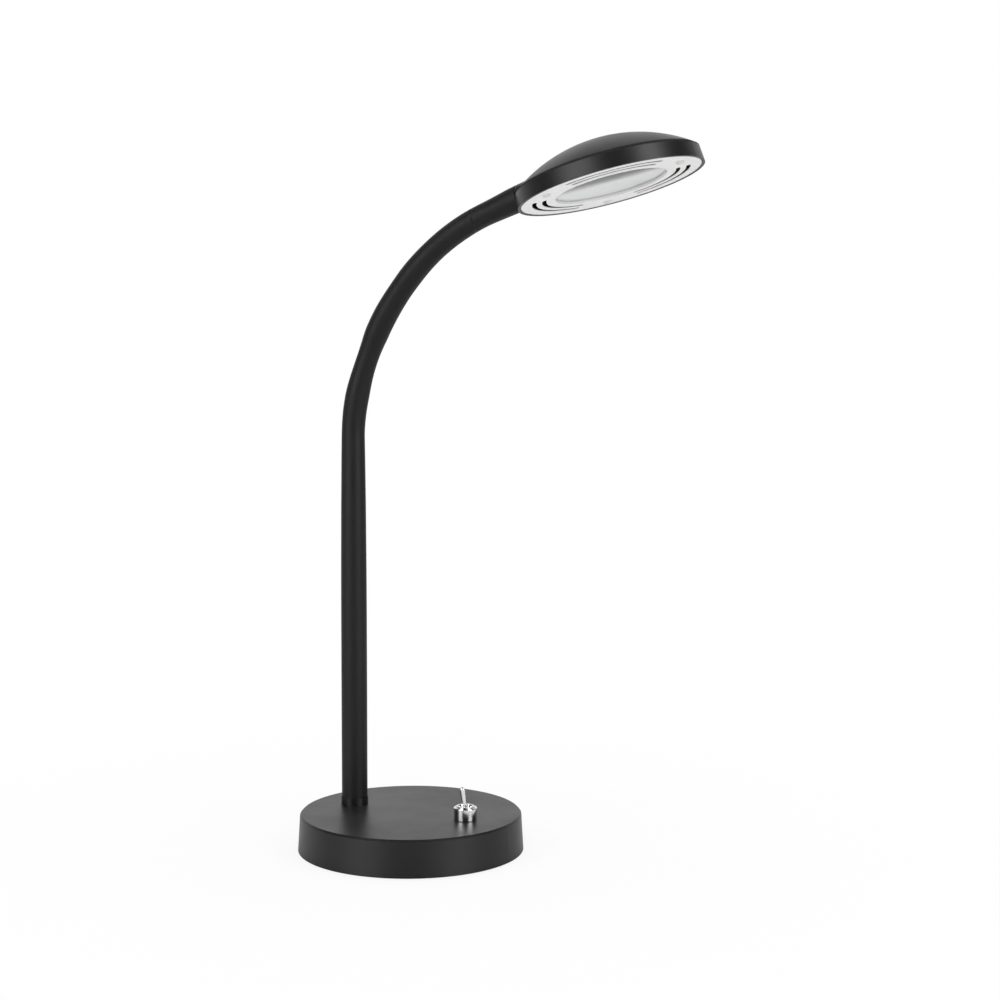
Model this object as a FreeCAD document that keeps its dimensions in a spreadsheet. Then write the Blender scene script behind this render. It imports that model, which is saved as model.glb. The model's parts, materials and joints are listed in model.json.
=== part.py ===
"""Gooseneck desk lamp: weighted round base with a toggle switch, a bendable neck in a
rubber sleeve, and a round head with a vented trim ring.

Millimetres. +Z is up, +X points from the neck's foot across the base to the switch, and
the origin is at the middle of the base on the table. The lamp is symmetric about XZ.
"""
import FreeCAD, Part
import math
import os
import Sketcher

doc = FreeCAD.newDocument("gooseneck_desk_lamp")
Vector = FreeCAD.Vector
Placement = FreeCAD.Placement
Rotation = FreeCAD.Rotation

SIZES = [
    # Base
    ("base_foot_radius", 75.7),
    ("base_top_radius", 74.3),
    ("base_height", 25.2),
    ("base_edge_round", 1.2),
    ("base_wall", 1.5),
    ("rim_lift", 0.6),
    ("pad_thickness", 2.0),
    ("pad_inset", 1.4),
    ("plate_thickness", 1.5),
    ("weight_thickness", 12.0),
    ("weight_window_width", 26.0),
    ("base_screw_circle", 55.0),
    ("base_screw_radius", 2.0),
    ("base_screw_bite", 5.5),
    ("base_screw_head_radius", 3.9),
    ("base_screw_head_height", 1.6),
    ("base_boss_radius", 5.0),
    ("nest_gap", 0.3),
    ("hole_gap", 0.2),
    # Cord inlet
    ("inlet_height", 10.0),
    ("inlet_bore_radius", 3.2),
    ("inlet_body_radius", 4.2),
    ("inlet_flange_radius", 6.0),
    ("inlet_flange_proud", 1.4),
    ("inlet_inner_reach", 4.5),
    ("inlet_inner_flange", 3.4),
    ("inlet_cut_reach", 10.0),
    # Neck foot
    ("neck_offset", 45.2),
    ("collar_radius", 9.15),
    ("collar_height", 5.5),
    ("stud_radius", 5.0),
    ("stud_bore_radius", 3.2),
    ("stud_rise", 14.0),
    ("stud_drop", 8.5),
    ("foot_washer_radius", 9.0),
    ("foot_washer_thickness", 1.2),
    ("foot_nut_flats", 14.0),
    ("foot_nut_height", 5.0),
    # Neck post and sleeve
    ("post_radius", 6.3),
    ("post_socket_depth", 12.0),
    ("post_setback", 14.0),
    ("neck_straight", 250.0),
    ("sleeve_foot_radius", 8.7),
    ("sleeve_taper_start", 125.0),
    ("sleeve_taper_middle", 190.0),
    ("sleeve_middle_radius", 8.46),
    ("sleeve_end_radius", 7.85),
    ("sleeve_flare_radius", 8.35),
    ("core_radius", 5.0),
    ("core_bore_radius", 2.9),
    ("lead_radius", 2.4),
    ("lead_lift", 1.4),
    ("lead_bend_radius", 8.0),
    # Gooseneck links
    ("link_length", 23.8),
    ("link_seat_radius", 11.0),
    ("link_gap", 0.45),
    ("dome_rim_width", 0.4),
    ("link_seat_overrun", 0.8),
    ("head_link_length", 28.5),
    # Switch
    ("switch_offset", 42.4),
    ("switch_body_length", 18.0),
    ("switch_body_width", 13.0),
    ("switch_body_height", 12.0),
    ("switch_cavity_radius", 3.6),
    ("switch_cavity_depth", 8.5),
    ("bushing_radius", 5.9),
    ("bushing_rise", 9.2),
    ("bushing_mouth_radius", 4.7),
    ("dress_nut_radius", 7.8),
    ("dress_nut_height", 8.4),
    ("dress_nut_chamfer", 0.8),
    ("lock_washer_radius", 8.4),
    ("lock_washer_thickness", 0.9),
    ("lever_pivot_rise", 3.0),
    ("lever_ball_radius", 3.0),
    ("lever_running_gap", 0.08),
    ("lever_pin_radius", 0.6),
    ("lever_pin_length", 8.6),
    ("lever_neck_radius", 1.15),
    ("lever_tip_radius", 1.65),
    ("lever_length", 18.6),
    ("lever_tail_length", 8.6),
    ("lever_lean", 8.0),
    ("terminal_pitch", 4.7),
    ("terminal_thickness", 0.8),
    ("terminal_width", 4.8),
    ("terminal_clearance", 2.5),
    # Head
    ("head_drop", 4.9),
    ("head_neck_gap", 1.0),
    ("head_inlet_height", 13.26),
    ("head_lip_radius", 59.5),
    ("head_crease_radius", 58.5),
    ("head_crease_height", 10.2),
    ("head_height", 29.8),
    ("head_wall", 1.6),
    ("spout_radius", 8.3),
    ("spout_flare", 1.0),
    ("spout_length", 29.0),
    ("spout_inner_length", 17.5),
    ("ferrule_radius", 8.45),
    ("ferrule_length", 2.0),
    ("spigot_length", 17.0),
    ("set_screw_radius", 2.0),
    # Trim ring and light unit
    ("trim_recess", 0.3),
    ("trim_thickness", 2.0),
    ("window_radius", 35.6),
    ("trim_collar_height", 5.4),
    ("trim_collar_wall", 1.6),
    ("slot_outer_radius", 49.0),
    ("slot_inner_radius", 42.6),
    ("slot_width", 2.8),
    ("slot_span", 72.0),
    ("trim_screw_circle", 48.0),
    ("trim_screw_radius", 1.5),
    ("trim_screw_head_radius", 2.9),
    ("trim_screw_head_height", 1.3),
    ("trim_screw_head_taper", 0.7),
    ("trim_screw_bite", 8.0),
    ("trim_boss_radius", 3.8),
    ("lens_thickness", 2.2),
    ("lens_recess", 2.9),
    ("reflector_wall", 0.8),
    ("reflector_depth", 11.0),
    ("reflector_neck_radius", 14.0),
    ("reflector_lip", 3.0),
    ("board_radius", 20.0),
    ("board_thickness", 1.6),
    ("chip_size", 3.5),
    ("chip_height", 0.8),
    ("chip_circle", 8.5),
    ("sink_radius", 21.0),
    ("sink_plate_thickness", 1.5),
    ("sink_fin_thickness", 1.4),
    ("sink_fin_height", 3.2),
]

# How far each link of the neck is bent where the lamp stands at rest, in degrees, and the
# outer radius of the rubber round it, from the post up to the head. The neck is slimmest
# about 5 cm over the post.
LINK_BENDS = [11.5, 9.0, 5.2, 9.9, 6.3, 9.1, 9.0, 8.8]
SLEEVE_RADII = [7.9, 7.75, 7.3, 8.0, 7.85, 7.7, 7.6, 7.6, 7.65]
for number, bend in enumerate(LINK_BENDS, start=1):
    SIZES.append(("link_bend_%d" % number, bend))
for number, radius in enumerate(SLEEVE_RADII, start=1):
    SIZES.append(("sleeve_radius_%d" % number, radius))

sheet = doc.addObject("Spreadsheet::Sheet", "Sizes")
for row, (alias, number) in enumerate(SIZES, start=1):
    sheet.set("A%d" % row, alias.replace("_", " "))
    sheet.set("B%d" % row, str(number))
    sheet.setAlias("B%d" % row, alias)
doc.recompute()

ALIASES = sorted((alias for alias, number in SIZES), key=len, reverse=True)
SUB_PARTS = []


def formula(words):
    """Put the sheet's name before each alias of a formula."""
    out = ""
    word = ""
    for letter in words + " ":
        if letter.isalnum() or letter == "_":
            word += letter
            continue
        out += "Sizes." + word if word in ALIASES else word
        out += letter
        word = ""
    return out.strip()


def value(words):
    """The number that a formula gives now."""
    return float(sheet.evalExpression(formula(str(words))))


def bind(item, **formulas):
    """Drive properties of one object by formulas of the sheet."""
    for name, words in formulas.items():
        item.setExpression(name.replace("__", "."), formula(str(words)))
    return item


def stand(item, at):
    """Bind the place of an upright object to three formulas."""
    for axis, words in zip("xyz", at):
        item.setExpression("Placement.Base." + axis, formula(str(words)))
    return item


def cylinder(radius, height, at=None, place=None):
    item = bind(doc.addObject("Part::Cylinder", "Round"), Radius=radius, Height=height)
    if place is not None:
        item.Placement = place
    return item if at is None else stand(item, at)


def cone(foot_radius, top_radius, height, at=None, place=None):
    item = doc.addObject("Part::Cone", "Taper")
    bind(item, Radius1=foot_radius, Radius2=top_radius, Height=height)
    if place is not None:
        item.Placement = place
    return item if at is None else stand(item, at)


def block(length, width, height, at):
    """A box whose place is given by the middle of its foot."""
    item = bind(doc.addObject("Part::Box", "Block"), Length=length, Width=width, Height=height)
    centre = ["(%s) - (%s) / 2" % (at[0], length), "(%s) - (%s) / 2" % (at[1], width), at[2]]
    return stand(item, centre)


def fused(*items):
    item = doc.addObject("Part::MultiFuse", "Joined")
    item.Shapes = list(items)
    return item


def cut(base, *tools):
    item = doc.addObject("Part::Cut", "Cut")
    item.Base = base
    item.Tool = tools[0] if len(tools) == 1 else fused(*tools)
    return item


def common(first, second):
    item = doc.addObject("Part::MultiCommon", "Shared")
    item.Shapes = [first, second]
    return item


def sub_part(label, item):
    item.Label = label
    SUB_PARTS.append((label, item))
    return item


def origin_plane(body, role):
    for feature in body.Origin.OriginFeatures:
        if feature.Role == role:
            return feature


def outline_sketch(body, corners):
    """A closed outline in the upright plane, drawn from formulas of radius and height.

    A corner with a third entry, "dome", starts an arc whose centre lies on the axis.
    """
    sketch = body.newObject("Sketcher::SketchObject", "Outline")
    sketch.AttachmentSupport = [(origin_plane(body, "XZ_Plane"), "")]
    sketch.MapMode = "FlatFace"
    points = [(value(corner[0]), value(corner[1])) for corner in corners]
    starts = []
    ends = []
    for index, corner in enumerate(corners):
        here = points[index]
        there = points[(index + 1) % len(points)]
        if len(corner) < 3:
            edge = Part.LineSegment(Vector(*here, 0), Vector(*there, 0))
            line = sketch.addGeometry(edge, False)
            starts.append((line, 1))
            ends.append((line, 2))
            continue
        squares = there[0] ** 2 + there[1] ** 2 - here[0] ** 2 - here[1] ** 2
        centre = squares / (2 * (there[1] - here[1]))
        turn_here = math.atan2(here[1] - centre, here[0])
        turn_there = math.atan2(there[1] - centre, there[0])
        circle = Part.Circle(Vector(0, centre, 0), Vector(0, 0, 1), math.hypot(here[0], here[1] - centre))
        arc = Part.ArcOfCircle(circle, min(turn_here, turn_there), max(turn_here, turn_there))
        line = sketch.addGeometry(arc, False)
        sketch.addConstraint(Sketcher.Constraint("PointOnObject", line, 3, -2))
        rising = turn_here < turn_there
        starts.append((line, 1 if rising else 2))
        ends.append((line, 2 if rising else 1))
    for index, corner in enumerate(corners):
        sketch.addConstraint(Sketcher.Constraint("Coincident", *ends[index - 1], *starts[index]))
        for kind, axis, words, number in zip(("DistanceX", "DistanceY"), (-2, -1), corner, points[index]):
            if words == "0":
                sketch.addConstraint(Sketcher.Constraint("PointOnObject", *starts[index], axis))
                continue
            held = sketch.addConstraint(Sketcher.Constraint(kind, -1, 1, *starts[index], number))
            sketch.setExpression("Constraints[%d]" % held, formula(words))
    return sketch


def turned(corners, place=None):
    """A body turned about its upright axis from an outline."""
    body = doc.addObject("PartDesign::Body", "Turned")
    sketch = outline_sketch(body, corners)
    turn = body.newObject("PartDesign::Revolution", "Turn")
    turn.Profile = sketch
    turn.ReferenceAxis = (sketch, ["V_Axis"])
    turn.Angle = 360
    if place is not None:
        body.Placement = place
    return body


def at_angle(item, degrees, around=None):
    """Turn an object about the upright axis, or about the axis of a given place."""
    local = around.inverse() * item.Placement if around is not None else item.Placement
    spun = Placement(Vector(), Rotation(Vector(0, 0, 1), degrees)) * local
    item.Placement = around * spun if around is not None else spun
    return item


def hexagon(flats, height, bore, at):
    """A hexagon nut with its bore."""
    prism = doc.addObject("Part::Prism", "Hexagon")
    prism.Polygon = 6
    bind(prism, Circumradius="(%s) / sqrt(3)" % flats, Height=height)
    stand(prism, at)
    return cut(prism, cylinder(bore, height, at=at))


# Base: a pressed steel cover over a cast iron weight, closed by a steel plate and a foam pad.

PLATE_FOOT = "pad_thickness"
PLATE_TOP = "pad_thickness + plate_thickness"
WEIGHT_TOP = PLATE_TOP + " + weight_thickness"
COVER_CEILING = "base_height - base_wall"
NEST_RADIUS = "min(base_top_radius; base_foot_radius) - base_wall - nest_gap"
BASE_SCREW_ANGLES = (90, 210, 330)
NECK_X = "-neck_offset"
WALL_AT_INLET = "(base_foot_radius - (base_foot_radius - base_top_radius) * inlet_height / base_height)"


def ring_of(make, angles, circle):
    """Copies of an upright piece at given angles on a circle round the base's axis."""
    copies = []
    for angle in angles:
        step_x = "(%s) * cos(%d deg)" % (circle, angle)
        step_y = "(%s) * sin(%d deg)" % (circle, angle)
        copies.append(make(step_x, step_y))
    return copies


def base_cover():
    skin = turned([
        ("0", COVER_CEILING),
        ("base_top_radius - base_wall", COVER_CEILING),
        ("base_foot_radius - base_wall", "rim_lift"),
        ("base_foot_radius", "rim_lift"),
        ("base_top_radius", "base_height - base_edge_round"),
        ("base_top_radius - base_edge_round", "base_height"),
        ("0", "base_height"),
    ])
    boss_height = "%s - (%s)" % (COVER_CEILING, WEIGHT_TOP)
    bosses = ring_of(
        lambda x, y: cylinder("base_boss_radius", boss_height, at=(x, y, WEIGHT_TOP)),
        BASE_SCREW_ANGLES, "base_screw_circle")
    pilots = ring_of(
        lambda x, y: cylinder("base_screw_radius + hole_gap / 2", "base_screw_bite + 0.5", at=(x, y, WEIGHT_TOP)),
        BASE_SCREW_ANGLES, "base_screw_circle")
    neck_hole = cylinder("stud_radius + hole_gap", "base_wall + 2", at=(NECK_X, 0, COVER_CEILING + " - 1"))
    switch_hole = cylinder(
        "bushing_radius + hole_gap", "base_wall + 2", at=("switch_offset", 0, COVER_CEILING + " - 1"))
    return cut(fused(skin, *bosses), neck_hole, switch_hole, inlet_rod("inlet_body_radius + hole_gap / 2"), *pilots)


def inlet_rod(radius):
    """A rod through the back of the cover along the cord inlet's axis."""
    place = Placement(
        Vector(-value(WALL_AT_INLET + " + inlet_cut_reach"), 0, value("inlet_height")),
        Rotation(Vector(0, 1, 0), 90))
    return cylinder(radius, "2 * inlet_cut_reach", place=place)


def base_weight():
    window_half = "weight_window_width / 2"
    disc = cylinder(NEST_RADIUS, "weight_thickness", at=(0, 0, PLATE_TOP))
    ends = [
        cylinder(window_half, "weight_thickness", at=(NECK_X, 0, PLATE_TOP)),
        cylinder(window_half, "weight_thickness", at=("switch_offset", 0, PLATE_TOP)),
    ]
    slot = block(
        "neck_offset + switch_offset", "weight_window_width", "weight_thickness",
        ("(switch_offset - neck_offset) / 2", "0", PLATE_TOP))
    notch_reach = "base_foot_radius - neck_offset"
    notch = block(
        notch_reach, "2 * inlet_flange_radius + 1", "weight_thickness + 2",
        ("-neck_offset - (%s) / 2" % notch_reach, "0", PLATE_TOP))
    holes = ring_of(
        lambda x, y: cylinder("base_screw_radius + hole_gap", "weight_thickness", at=(x, y, PLATE_TOP)),
        BASE_SCREW_ANGLES, "base_screw_circle")
    return cut(disc, slot, notch, *ends, *holes)


def base_plate():
    disc = cylinder(NEST_RADIUS, "plate_thickness", at=(0, 0, PLATE_FOOT))
    holes = ring_of(
        lambda x, y: cylinder("base_screw_radius + hole_gap", "plate_thickness", at=(x, y, PLATE_FOOT)),
        BASE_SCREW_ANGLES, "base_screw_circle")
    return cut(disc, *holes)


def base_pad():
    disc = cylinder(NEST_RADIUS + " - pad_inset", "pad_thickness", at=(0, 0, 0))
    holes = ring_of(
        lambda x, y: cylinder("base_screw_head_radius + hole_gap * 2", "pad_thickness", at=(x, y, 0)),
        BASE_SCREW_ANGLES, "base_screw_circle")
    return cut(disc, *holes)


def base_screw(x, y):
    head_foot = PLATE_FOOT + " - base_screw_head_height"
    shank_length = "plate_thickness + weight_thickness + base_screw_bite"
    shank = cylinder("base_screw_radius", shank_length, at=(x, y, PLATE_FOOT))
    head = cone(
        "base_screw_head_radius - 0.6", "base_screw_head_radius", "base_screw_head_height", at=(x, y, head_foot))
    return fused(shank, head)


def base_screws():
    screws = ring_of(base_screw, BASE_SCREW_ANGLES, "base_screw_circle")
    group = doc.addObject("Part::Compound", "Screws")
    group.Links = screws
    return group


def cover_taper(inset):
    """The cover's tapering side as a solid, drawn in by an inset."""
    slope = "(base_foot_radius - base_top_radius) / (base_height - base_edge_round - rim_lift)"
    foot = "base_foot_radius - (%s) + rim_lift * %s" % (inset, slope)
    top = "base_top_radius - (%s) - base_edge_round * %s" % (inset, slope)
    return cone(foot, top, "base_height", at=(0, 0, 0))


def cord_grommet():
    """A rubber bush in the back of the cover, with a flange on both sides of the wall."""
    axis_place = Rotation(Vector(0, 1, 0), 90)
    outer_x = -value(WALL_AT_INLET + " + inlet_flange_proud")
    flange_place = Placement(Vector(outer_x, 0, value("inlet_height")), axis_place)
    outer_flange = cut(
        cylinder("inlet_flange_radius", "inlet_cut_reach", place=flange_place), cover_taper("-hole_gap / 4"))
    inner_end = WALL_AT_INLET + " - base_wall - inlet_inner_reach"
    body_length = WALL_AT_INLET + " + inlet_flange_proud - (%s)" % inner_end
    body = cylinder("inlet_body_radius", body_length, place=flange_place)
    inner_x = -value(inner_end + " + inlet_inner_flange")
    inner_place = Placement(Vector(inner_x, 0, value("inlet_height")), axis_place)
    inner_flange = common(
        cylinder("inlet_flange_radius - 0.8", "inlet_inner_flange", place=inner_place),
        cover_taper("base_wall + hole_gap"))
    bore = cylinder("inlet_bore_radius", body_length, place=flange_place)
    return cut(fused(body, outer_flange, inner_flange), bore)


sub_part("base_cover", base_cover())
sub_part("base_weight", base_weight())
sub_part("base_plate", base_plate())
sub_part("base_pad", base_pad())
sub_part("base_screws", base_screws())
sub_part("cord_grommet", cord_grommet())

# Foot of the neck: a hollow threaded stud clamps the collar and the post to the cover.


def pipe(outer, inner, height, at):
    return cut(cylinder(outer, height, at=at), cylinder(inner, height, at=at))


def at_neck(height):
    return (NECK_X, 0, height)


SLEEVE_FOOT = "base_height + collar_height"
STRAIGHT_TOP = "base_height + neck_straight"
WASHER_FOOT = COVER_CEILING + " - foot_washer_thickness"

sub_part("neck_collar", pipe("collar_radius", "stud_radius + hole_gap", "collar_height", at_neck("base_height")))
sub_part("neck_stud", pipe(
    "stud_radius", "stud_bore_radius", "stud_drop + stud_rise", at_neck("base_height - stud_drop")))
sub_part("foot_washer", pipe(
    "foot_washer_radius", "stud_radius + hole_gap", "foot_washer_thickness", at_neck(WASHER_FOOT)))
sub_part("foot_nut", hexagon(
    "foot_nut_flats", "foot_nut_height", "stud_radius + hole_gap / 2", at_neck(WASHER_FOOT + " - foot_nut_height")))

# Neck: a steel post, then the bendable gooseneck, both inside one rubber sleeve. The sleeve,
# the coiled steel core and the lead inside it are cut into links that swivel on each other.

POST_TOP = STRAIGHT_TOP + " - post_setback"
SLEEVE_BORE = "core_radius + hole_gap"
POST_BORE = "post_radius + hole_gap"


def sleeve_number(index):
    """The sleeve's radius on a link: the root's own end is number nought."""
    return "sleeve_end_radius" if index == 0 else "sleeve_radius_%d" % index


def seat_drop(index):
    """From the swivel's centre up to the plane where the sleeve's outer edge ends."""
    return "sqrt(link_seat_radius ^ 2 - (%s) ^ 2)" % sleeve_number(index)


DOME_RIM = SLEEVE_BORE + " + dome_rim_width"


def dome_rise(index):
    """How far the domed end stands up over that plane."""
    return "sqrt(link_seat_radius ^ 2 - (%s) ^ 2) - %s" % (DOME_RIM, seat_drop(index))


def ahead(point, heading, distance):
    return point + Vector(math.sin(heading), 0, math.cos(heading)) * distance


def walk_neck():
    """Middle and heading of the neck at each plane between two links, at rest.

    Each link is bent once, at its middle, and these elbows are listed too.
    """
    point = Vector(-value("neck_offset"), 0, value(STRAIGHT_TOP))
    heading = 0.0
    half = value("link_length") / 2
    planes = [(point, heading)]
    elbows = []
    for index in range(1, len(LINK_BENDS) + 1):
        elbow = ahead(point, heading, half)
        heading += math.radians(value("link_bend_%d" % index))
        point = ahead(elbow, heading, half)
        elbows.append(elbow)
        planes.append((point, heading))
    return planes, elbows


PLANES, ELBOWS = walk_neck()


def on_plane(index, rise=0.0):
    """A place on one plane of the neck, +Z along the neck, moved up it by a rise."""
    point, heading = PLANES[index]
    return Placement(ahead(point, heading, rise), Rotation(Vector(0, 1, 0), math.degrees(heading)))


def link_chord(index):
    """Place at the foot of a link, +Z straight to its upper plane, and the distance there."""
    foot = PLANES[index - 1][0]
    run = PLANES[index][0] - foot
    return Placement(foot, Rotation(Vector(0, 0, 1), run)), run.Length


def straight_through(index, radius, start, stop):
    """A rod along a link's chord, from over its foot to a height over its upper plane."""
    chord, length = link_chord(index)
    place = chord * Placement(Vector(0, 0, value(start)), Rotation())
    return cylinder(radius, "%.4f + (%s) - (%s)" % (length, stop, start), place=place)


def bent_wall(index, radius):
    """The outside of one link: a disc set across the neck, swept up to and past the elbow."""
    line = doc.addObject("Part::Polygon", "Line")
    line.Nodes = [PLANES[index - 1][0], ELBOWS[index - 1], on_plane(index, -value("link_gap")).Base]
    disc = bind(doc.addObject("Part::Circle", "Disc"), Radius=radius)
    disc.Placement = on_plane(index - 1)
    sweep = doc.addObject("Part::Sweep", "Bend")
    sweep.Sections = [disc]
    sweep.Spine = (line, ["Edge1", "Edge2"])
    sweep.Solid = True
    sweep.Transition = "Right corner"
    return sweep


def link_sleeve(index):
    """Rubber round one link: hollow seat at the foot, domed end at the top."""
    radius = sleeve_number(index)
    crown = dome_rise(index)
    dome = cone(radius, DOME_RIM, crown, place=on_plane(index, -value("link_gap")))
    bore = straight_through(index, SLEEVE_BORE, "-2", "%s + 2" % crown)
    return cut(fused(bent_wall(index, radius), dome), bore, seat_tool(index))


def seat_tool(index):
    """The space that the domed end of the link below needs."""
    below = index - 1
    rise = dome_rise(below)
    slope = "((%s) - (%s)) / (%s)" % (sleeve_number(below), DOME_RIM, rise)
    foot = "(%s) + link_seat_overrun * %s" % (sleeve_number(below), slope)
    top = "(%s) - link_seat_overrun * %s" % (DOME_RIM, slope)
    height = "(%s) + 2 * link_seat_overrun" % rise
    return cone(foot, top, height, place=on_plane(below, -value("link_seat_overrun")))


def core_start(index):
    """Where the core and the lead of a link begin, over the plane below it."""
    return "link_seat_radius - %s + 0.05" % seat_drop(index - 1)


def core_end(index):
    """Where they end, over the plane above it: just under the dome's rim."""
    return "%s - link_gap" % dome_rise(index)


def link_core(index):
    return cut(
        straight_through(index, "core_radius", core_start(index), core_end(index)),
        straight_through(index, "core_bore_radius", core_start(index), core_end(index)))


def link_lead(index):
    return straight_through(index, "lead_radius", core_start(index), core_end(index))


def root_sleeve():
    """Rubber round the post, tapering to the first swivel."""
    crown = dome_rise(0)
    return turned([
        (POST_BORE, SLEEVE_FOOT),
        ("sleeve_foot_radius", SLEEVE_FOOT),
        ("sleeve_foot_radius", "base_height + sleeve_taper_start"),
        ("sleeve_middle_radius", "base_height + sleeve_taper_middle"),
        ("sleeve_end_radius", STRAIGHT_TOP + " - link_gap"),
        (DOME_RIM, "%s - link_gap + (%s)" % (STRAIGHT_TOP, crown)),
        (SLEEVE_BORE, "%s - link_gap + (%s)" % (STRAIGHT_TOP, crown)),
        (SLEEVE_BORE, POST_TOP + " + 0.5"),
        (POST_BORE, POST_TOP + " + 0.5"),
    ], place=Placement(Vector(-value("neck_offset"), 0, 0), Rotation()))


def neck_post():
    """Steel tube that holds the threaded stud at its foot and the gooseneck at its top."""
    height = "%s - (%s)" % (POST_TOP, SLEEVE_FOOT)
    stud_socket = "stud_rise - collar_height + 1"
    tube = cylinder("post_radius", height, at=at_neck(SLEEVE_FOOT))
    bore = cylinder("stud_bore_radius", height, at=at_neck(SLEEVE_FOOT))
    foot_socket = cylinder("stud_radius + hole_gap / 2", stud_socket, at=at_neck(SLEEVE_FOOT))
    top_socket = cylinder(
        "core_radius + hole_gap / 2", "post_socket_depth", at=at_neck(POST_TOP + " - post_socket_depth"))
    return cut(tube, bore, foot_socket, top_socket)


def root_core():
    foot = "%s - post_socket_depth" % POST_TOP
    top = "%s + (%s)" % (STRAIGHT_TOP, core_end(0))
    return pipe("core_radius", "core_bore_radius", "%s - (%s)" % (top, foot), at_neck(foot))


LEAD_HEIGHT = PLATE_TOP + " + lead_lift + lead_radius"


def root_lead():
    """Lead from the switch along the weight's window and up through the post."""
    low = value(LEAD_HEIGHT)
    radius = value("lead_bend_radius")
    neck_x = -value("neck_offset")
    start = Vector(value("switch_offset - terminal_pitch - terminal_thickness / 2 - hole_gap"), 0, low)
    turn_in = Vector(neck_x + radius, 0, low)
    turn_out = Vector(neck_x, 0, low + radius)
    corner = Vector(neck_x + radius * (1 - math.sqrt(0.5)), 0, low + radius * (1 - math.sqrt(0.5)))
    top = Vector(neck_x, 0, value("%s + (%s)" % (STRAIGHT_TOP, core_end(0))))
    run = Part.LineSegment(start, turn_in).toShape()
    bend = Part.Arc(turn_in, corner, turn_out).toShape()
    rise = Part.LineSegment(turn_out, top).toShape()
    ring = Part.Wire([Part.Circle(start, Vector(-1, 0, 0), value("lead_radius")).toShape()])
    item = doc.addObject("Part::Feature", "Lead")
    item.Shape = Part.Wire([run, bend, rise]).makePipeShell([ring], True, False)
    return item


sub_part("neck_post", neck_post())
sub_part("neck_sleeve_0", root_sleeve())
sub_part("neck_core_0", root_core())
sub_part("neck_lead_0", root_lead())
for number in range(1, len(LINK_BENDS) + 1):
    sub_part("neck_sleeve_%d" % number, link_sleeve(number))
    sub_part("neck_core_%d" % number, link_core(number))
    sub_part("neck_lead_%d" % number, link_lead(number))

# Switch: a toggle with a threaded bushing, clamped to the cover by its dress nut.

BODY_TOP = COVER_CEILING + " - lock_washer_thickness"
BODY_FOOT = BODY_TOP + " - switch_body_height"
BUSHING_TOP = "base_height + bushing_rise"
PIVOT_HEIGHT = "base_height + lever_pivot_rise"
SEAT_RADIUS = "lever_ball_radius + lever_running_gap"


def at_switch(height):
    return ("switch_offset", 0, height)


def cross_pin(radius, length):
    """A rod along Y through the lever's pivot."""
    place = Placement(
        Vector(value("switch_offset"), -value(length) / 2, value(PIVOT_HEIGHT)), Rotation(Vector(1, 0, 0), -90))
    return cylinder(radius, length, place=place)


def switch_body():
    case = block("switch_body_length", "switch_body_width", "switch_body_height", at_switch(BODY_FOOT))
    cavity = cylinder(
        "switch_cavity_radius", "switch_cavity_depth", at=at_switch(BODY_TOP + " - switch_cavity_depth"))
    return cut(case, cavity)


def switch_bushing():
    seat_top = "lever_pivot_rise + lever_ball_radius * 0.6"
    thread = cylinder("bushing_radius", "%s - (%s)" % (BUSHING_TOP, BODY_TOP), at=at_switch(BODY_TOP))
    seat = cylinder(SEAT_RADIUS, "base_height + %s - (%s)" % (seat_top, BODY_TOP), at=at_switch(BODY_TOP))
    mouth = cone(
        SEAT_RADIUS, "bushing_mouth_radius", "bushing_rise - (%s)" % seat_top,
        at=at_switch("base_height + " + seat_top))
    return cut(thread, seat, mouth, cross_pin("lever_pin_radius + hole_gap / 4", "lever_pin_length + 0.4"))


def dress_nut():
    inner = "bushing_radius + hole_gap / 2"
    return turned([
        (inner, "base_height"),
        ("dress_nut_radius", "base_height"),
        ("dress_nut_radius", "base_height + dress_nut_height - dress_nut_chamfer"),
        ("dress_nut_radius - dress_nut_chamfer", "base_height + dress_nut_height"),
        (inner, "base_height + dress_nut_height"),
    ], place=Placement(Vector(value("switch_offset"), 0, 0), Rotation()))


def switch_lever():
    """Bat lever on its ball, leaning towards the neck when the lamp is off."""
    place = Placement(
        Vector(value("switch_offset"), 0, value(PIVOT_HEIGHT)), Rotation(Vector(0, 1, 0), -value("lever_lean")))
    down = Placement(Vector(), Rotation(Vector(1, 0, 0), 180))
    ball = bind(doc.addObject("Part::Sphere", "Ball"), Radius="lever_ball_radius")
    ball.Placement = place
    bat = cone("lever_neck_radius", "lever_tip_radius", "lever_length - lever_tip_radius", place=place)
    tip = bind(doc.addObject("Part::Sphere", "Tip"), Radius="lever_tip_radius")
    tip.Placement = place * Placement(Vector(0, 0, value("lever_length - lever_tip_radius")), Rotation())
    tail = cylinder("lever_neck_radius", "lever_tail_length", place=place * down)
    return cut(fused(ball, bat, tip, tail), cross_pin("lever_pin_radius + lever_running_gap", "2 * lever_ball_radius + 1"))


def terminals():
    """Two blades under the case, as long as the room over the bottom plate allows."""
    blade_foot = PLATE_TOP + " + terminal_clearance"
    blades = []
    for side in ("-terminal_pitch", "terminal_pitch"):
        place = ("switch_offset + (%s)" % side, 0, blade_foot)
        blades.append(block("terminal_thickness", "terminal_width", "%s - (%s)" % (BODY_FOOT, blade_foot), place))
    group = doc.addObject("Part::Compound", "Blades")
    group.Links = blades
    return group


sub_part("switch_body", switch_body())
sub_part("switch_bushing", switch_bushing())
sub_part("switch_lock_washer", pipe(
    "lock_washer_radius", "bushing_radius + hole_gap", "lock_washer_thickness", at_switch(BODY_TOP)))
sub_part("switch_dress_nut", dress_nut())
sub_part("switch_lever", switch_lever())
sub_part("switch_pivot_pin", cross_pin("lever_pin_radius", "lever_pin_length"))
sub_part("switch_terminals", terminals())

# Head: built upright about its own axis, then hung on the end of the neck. Height nought is
# the plane of its lip, and -X points to the neck.

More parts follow.
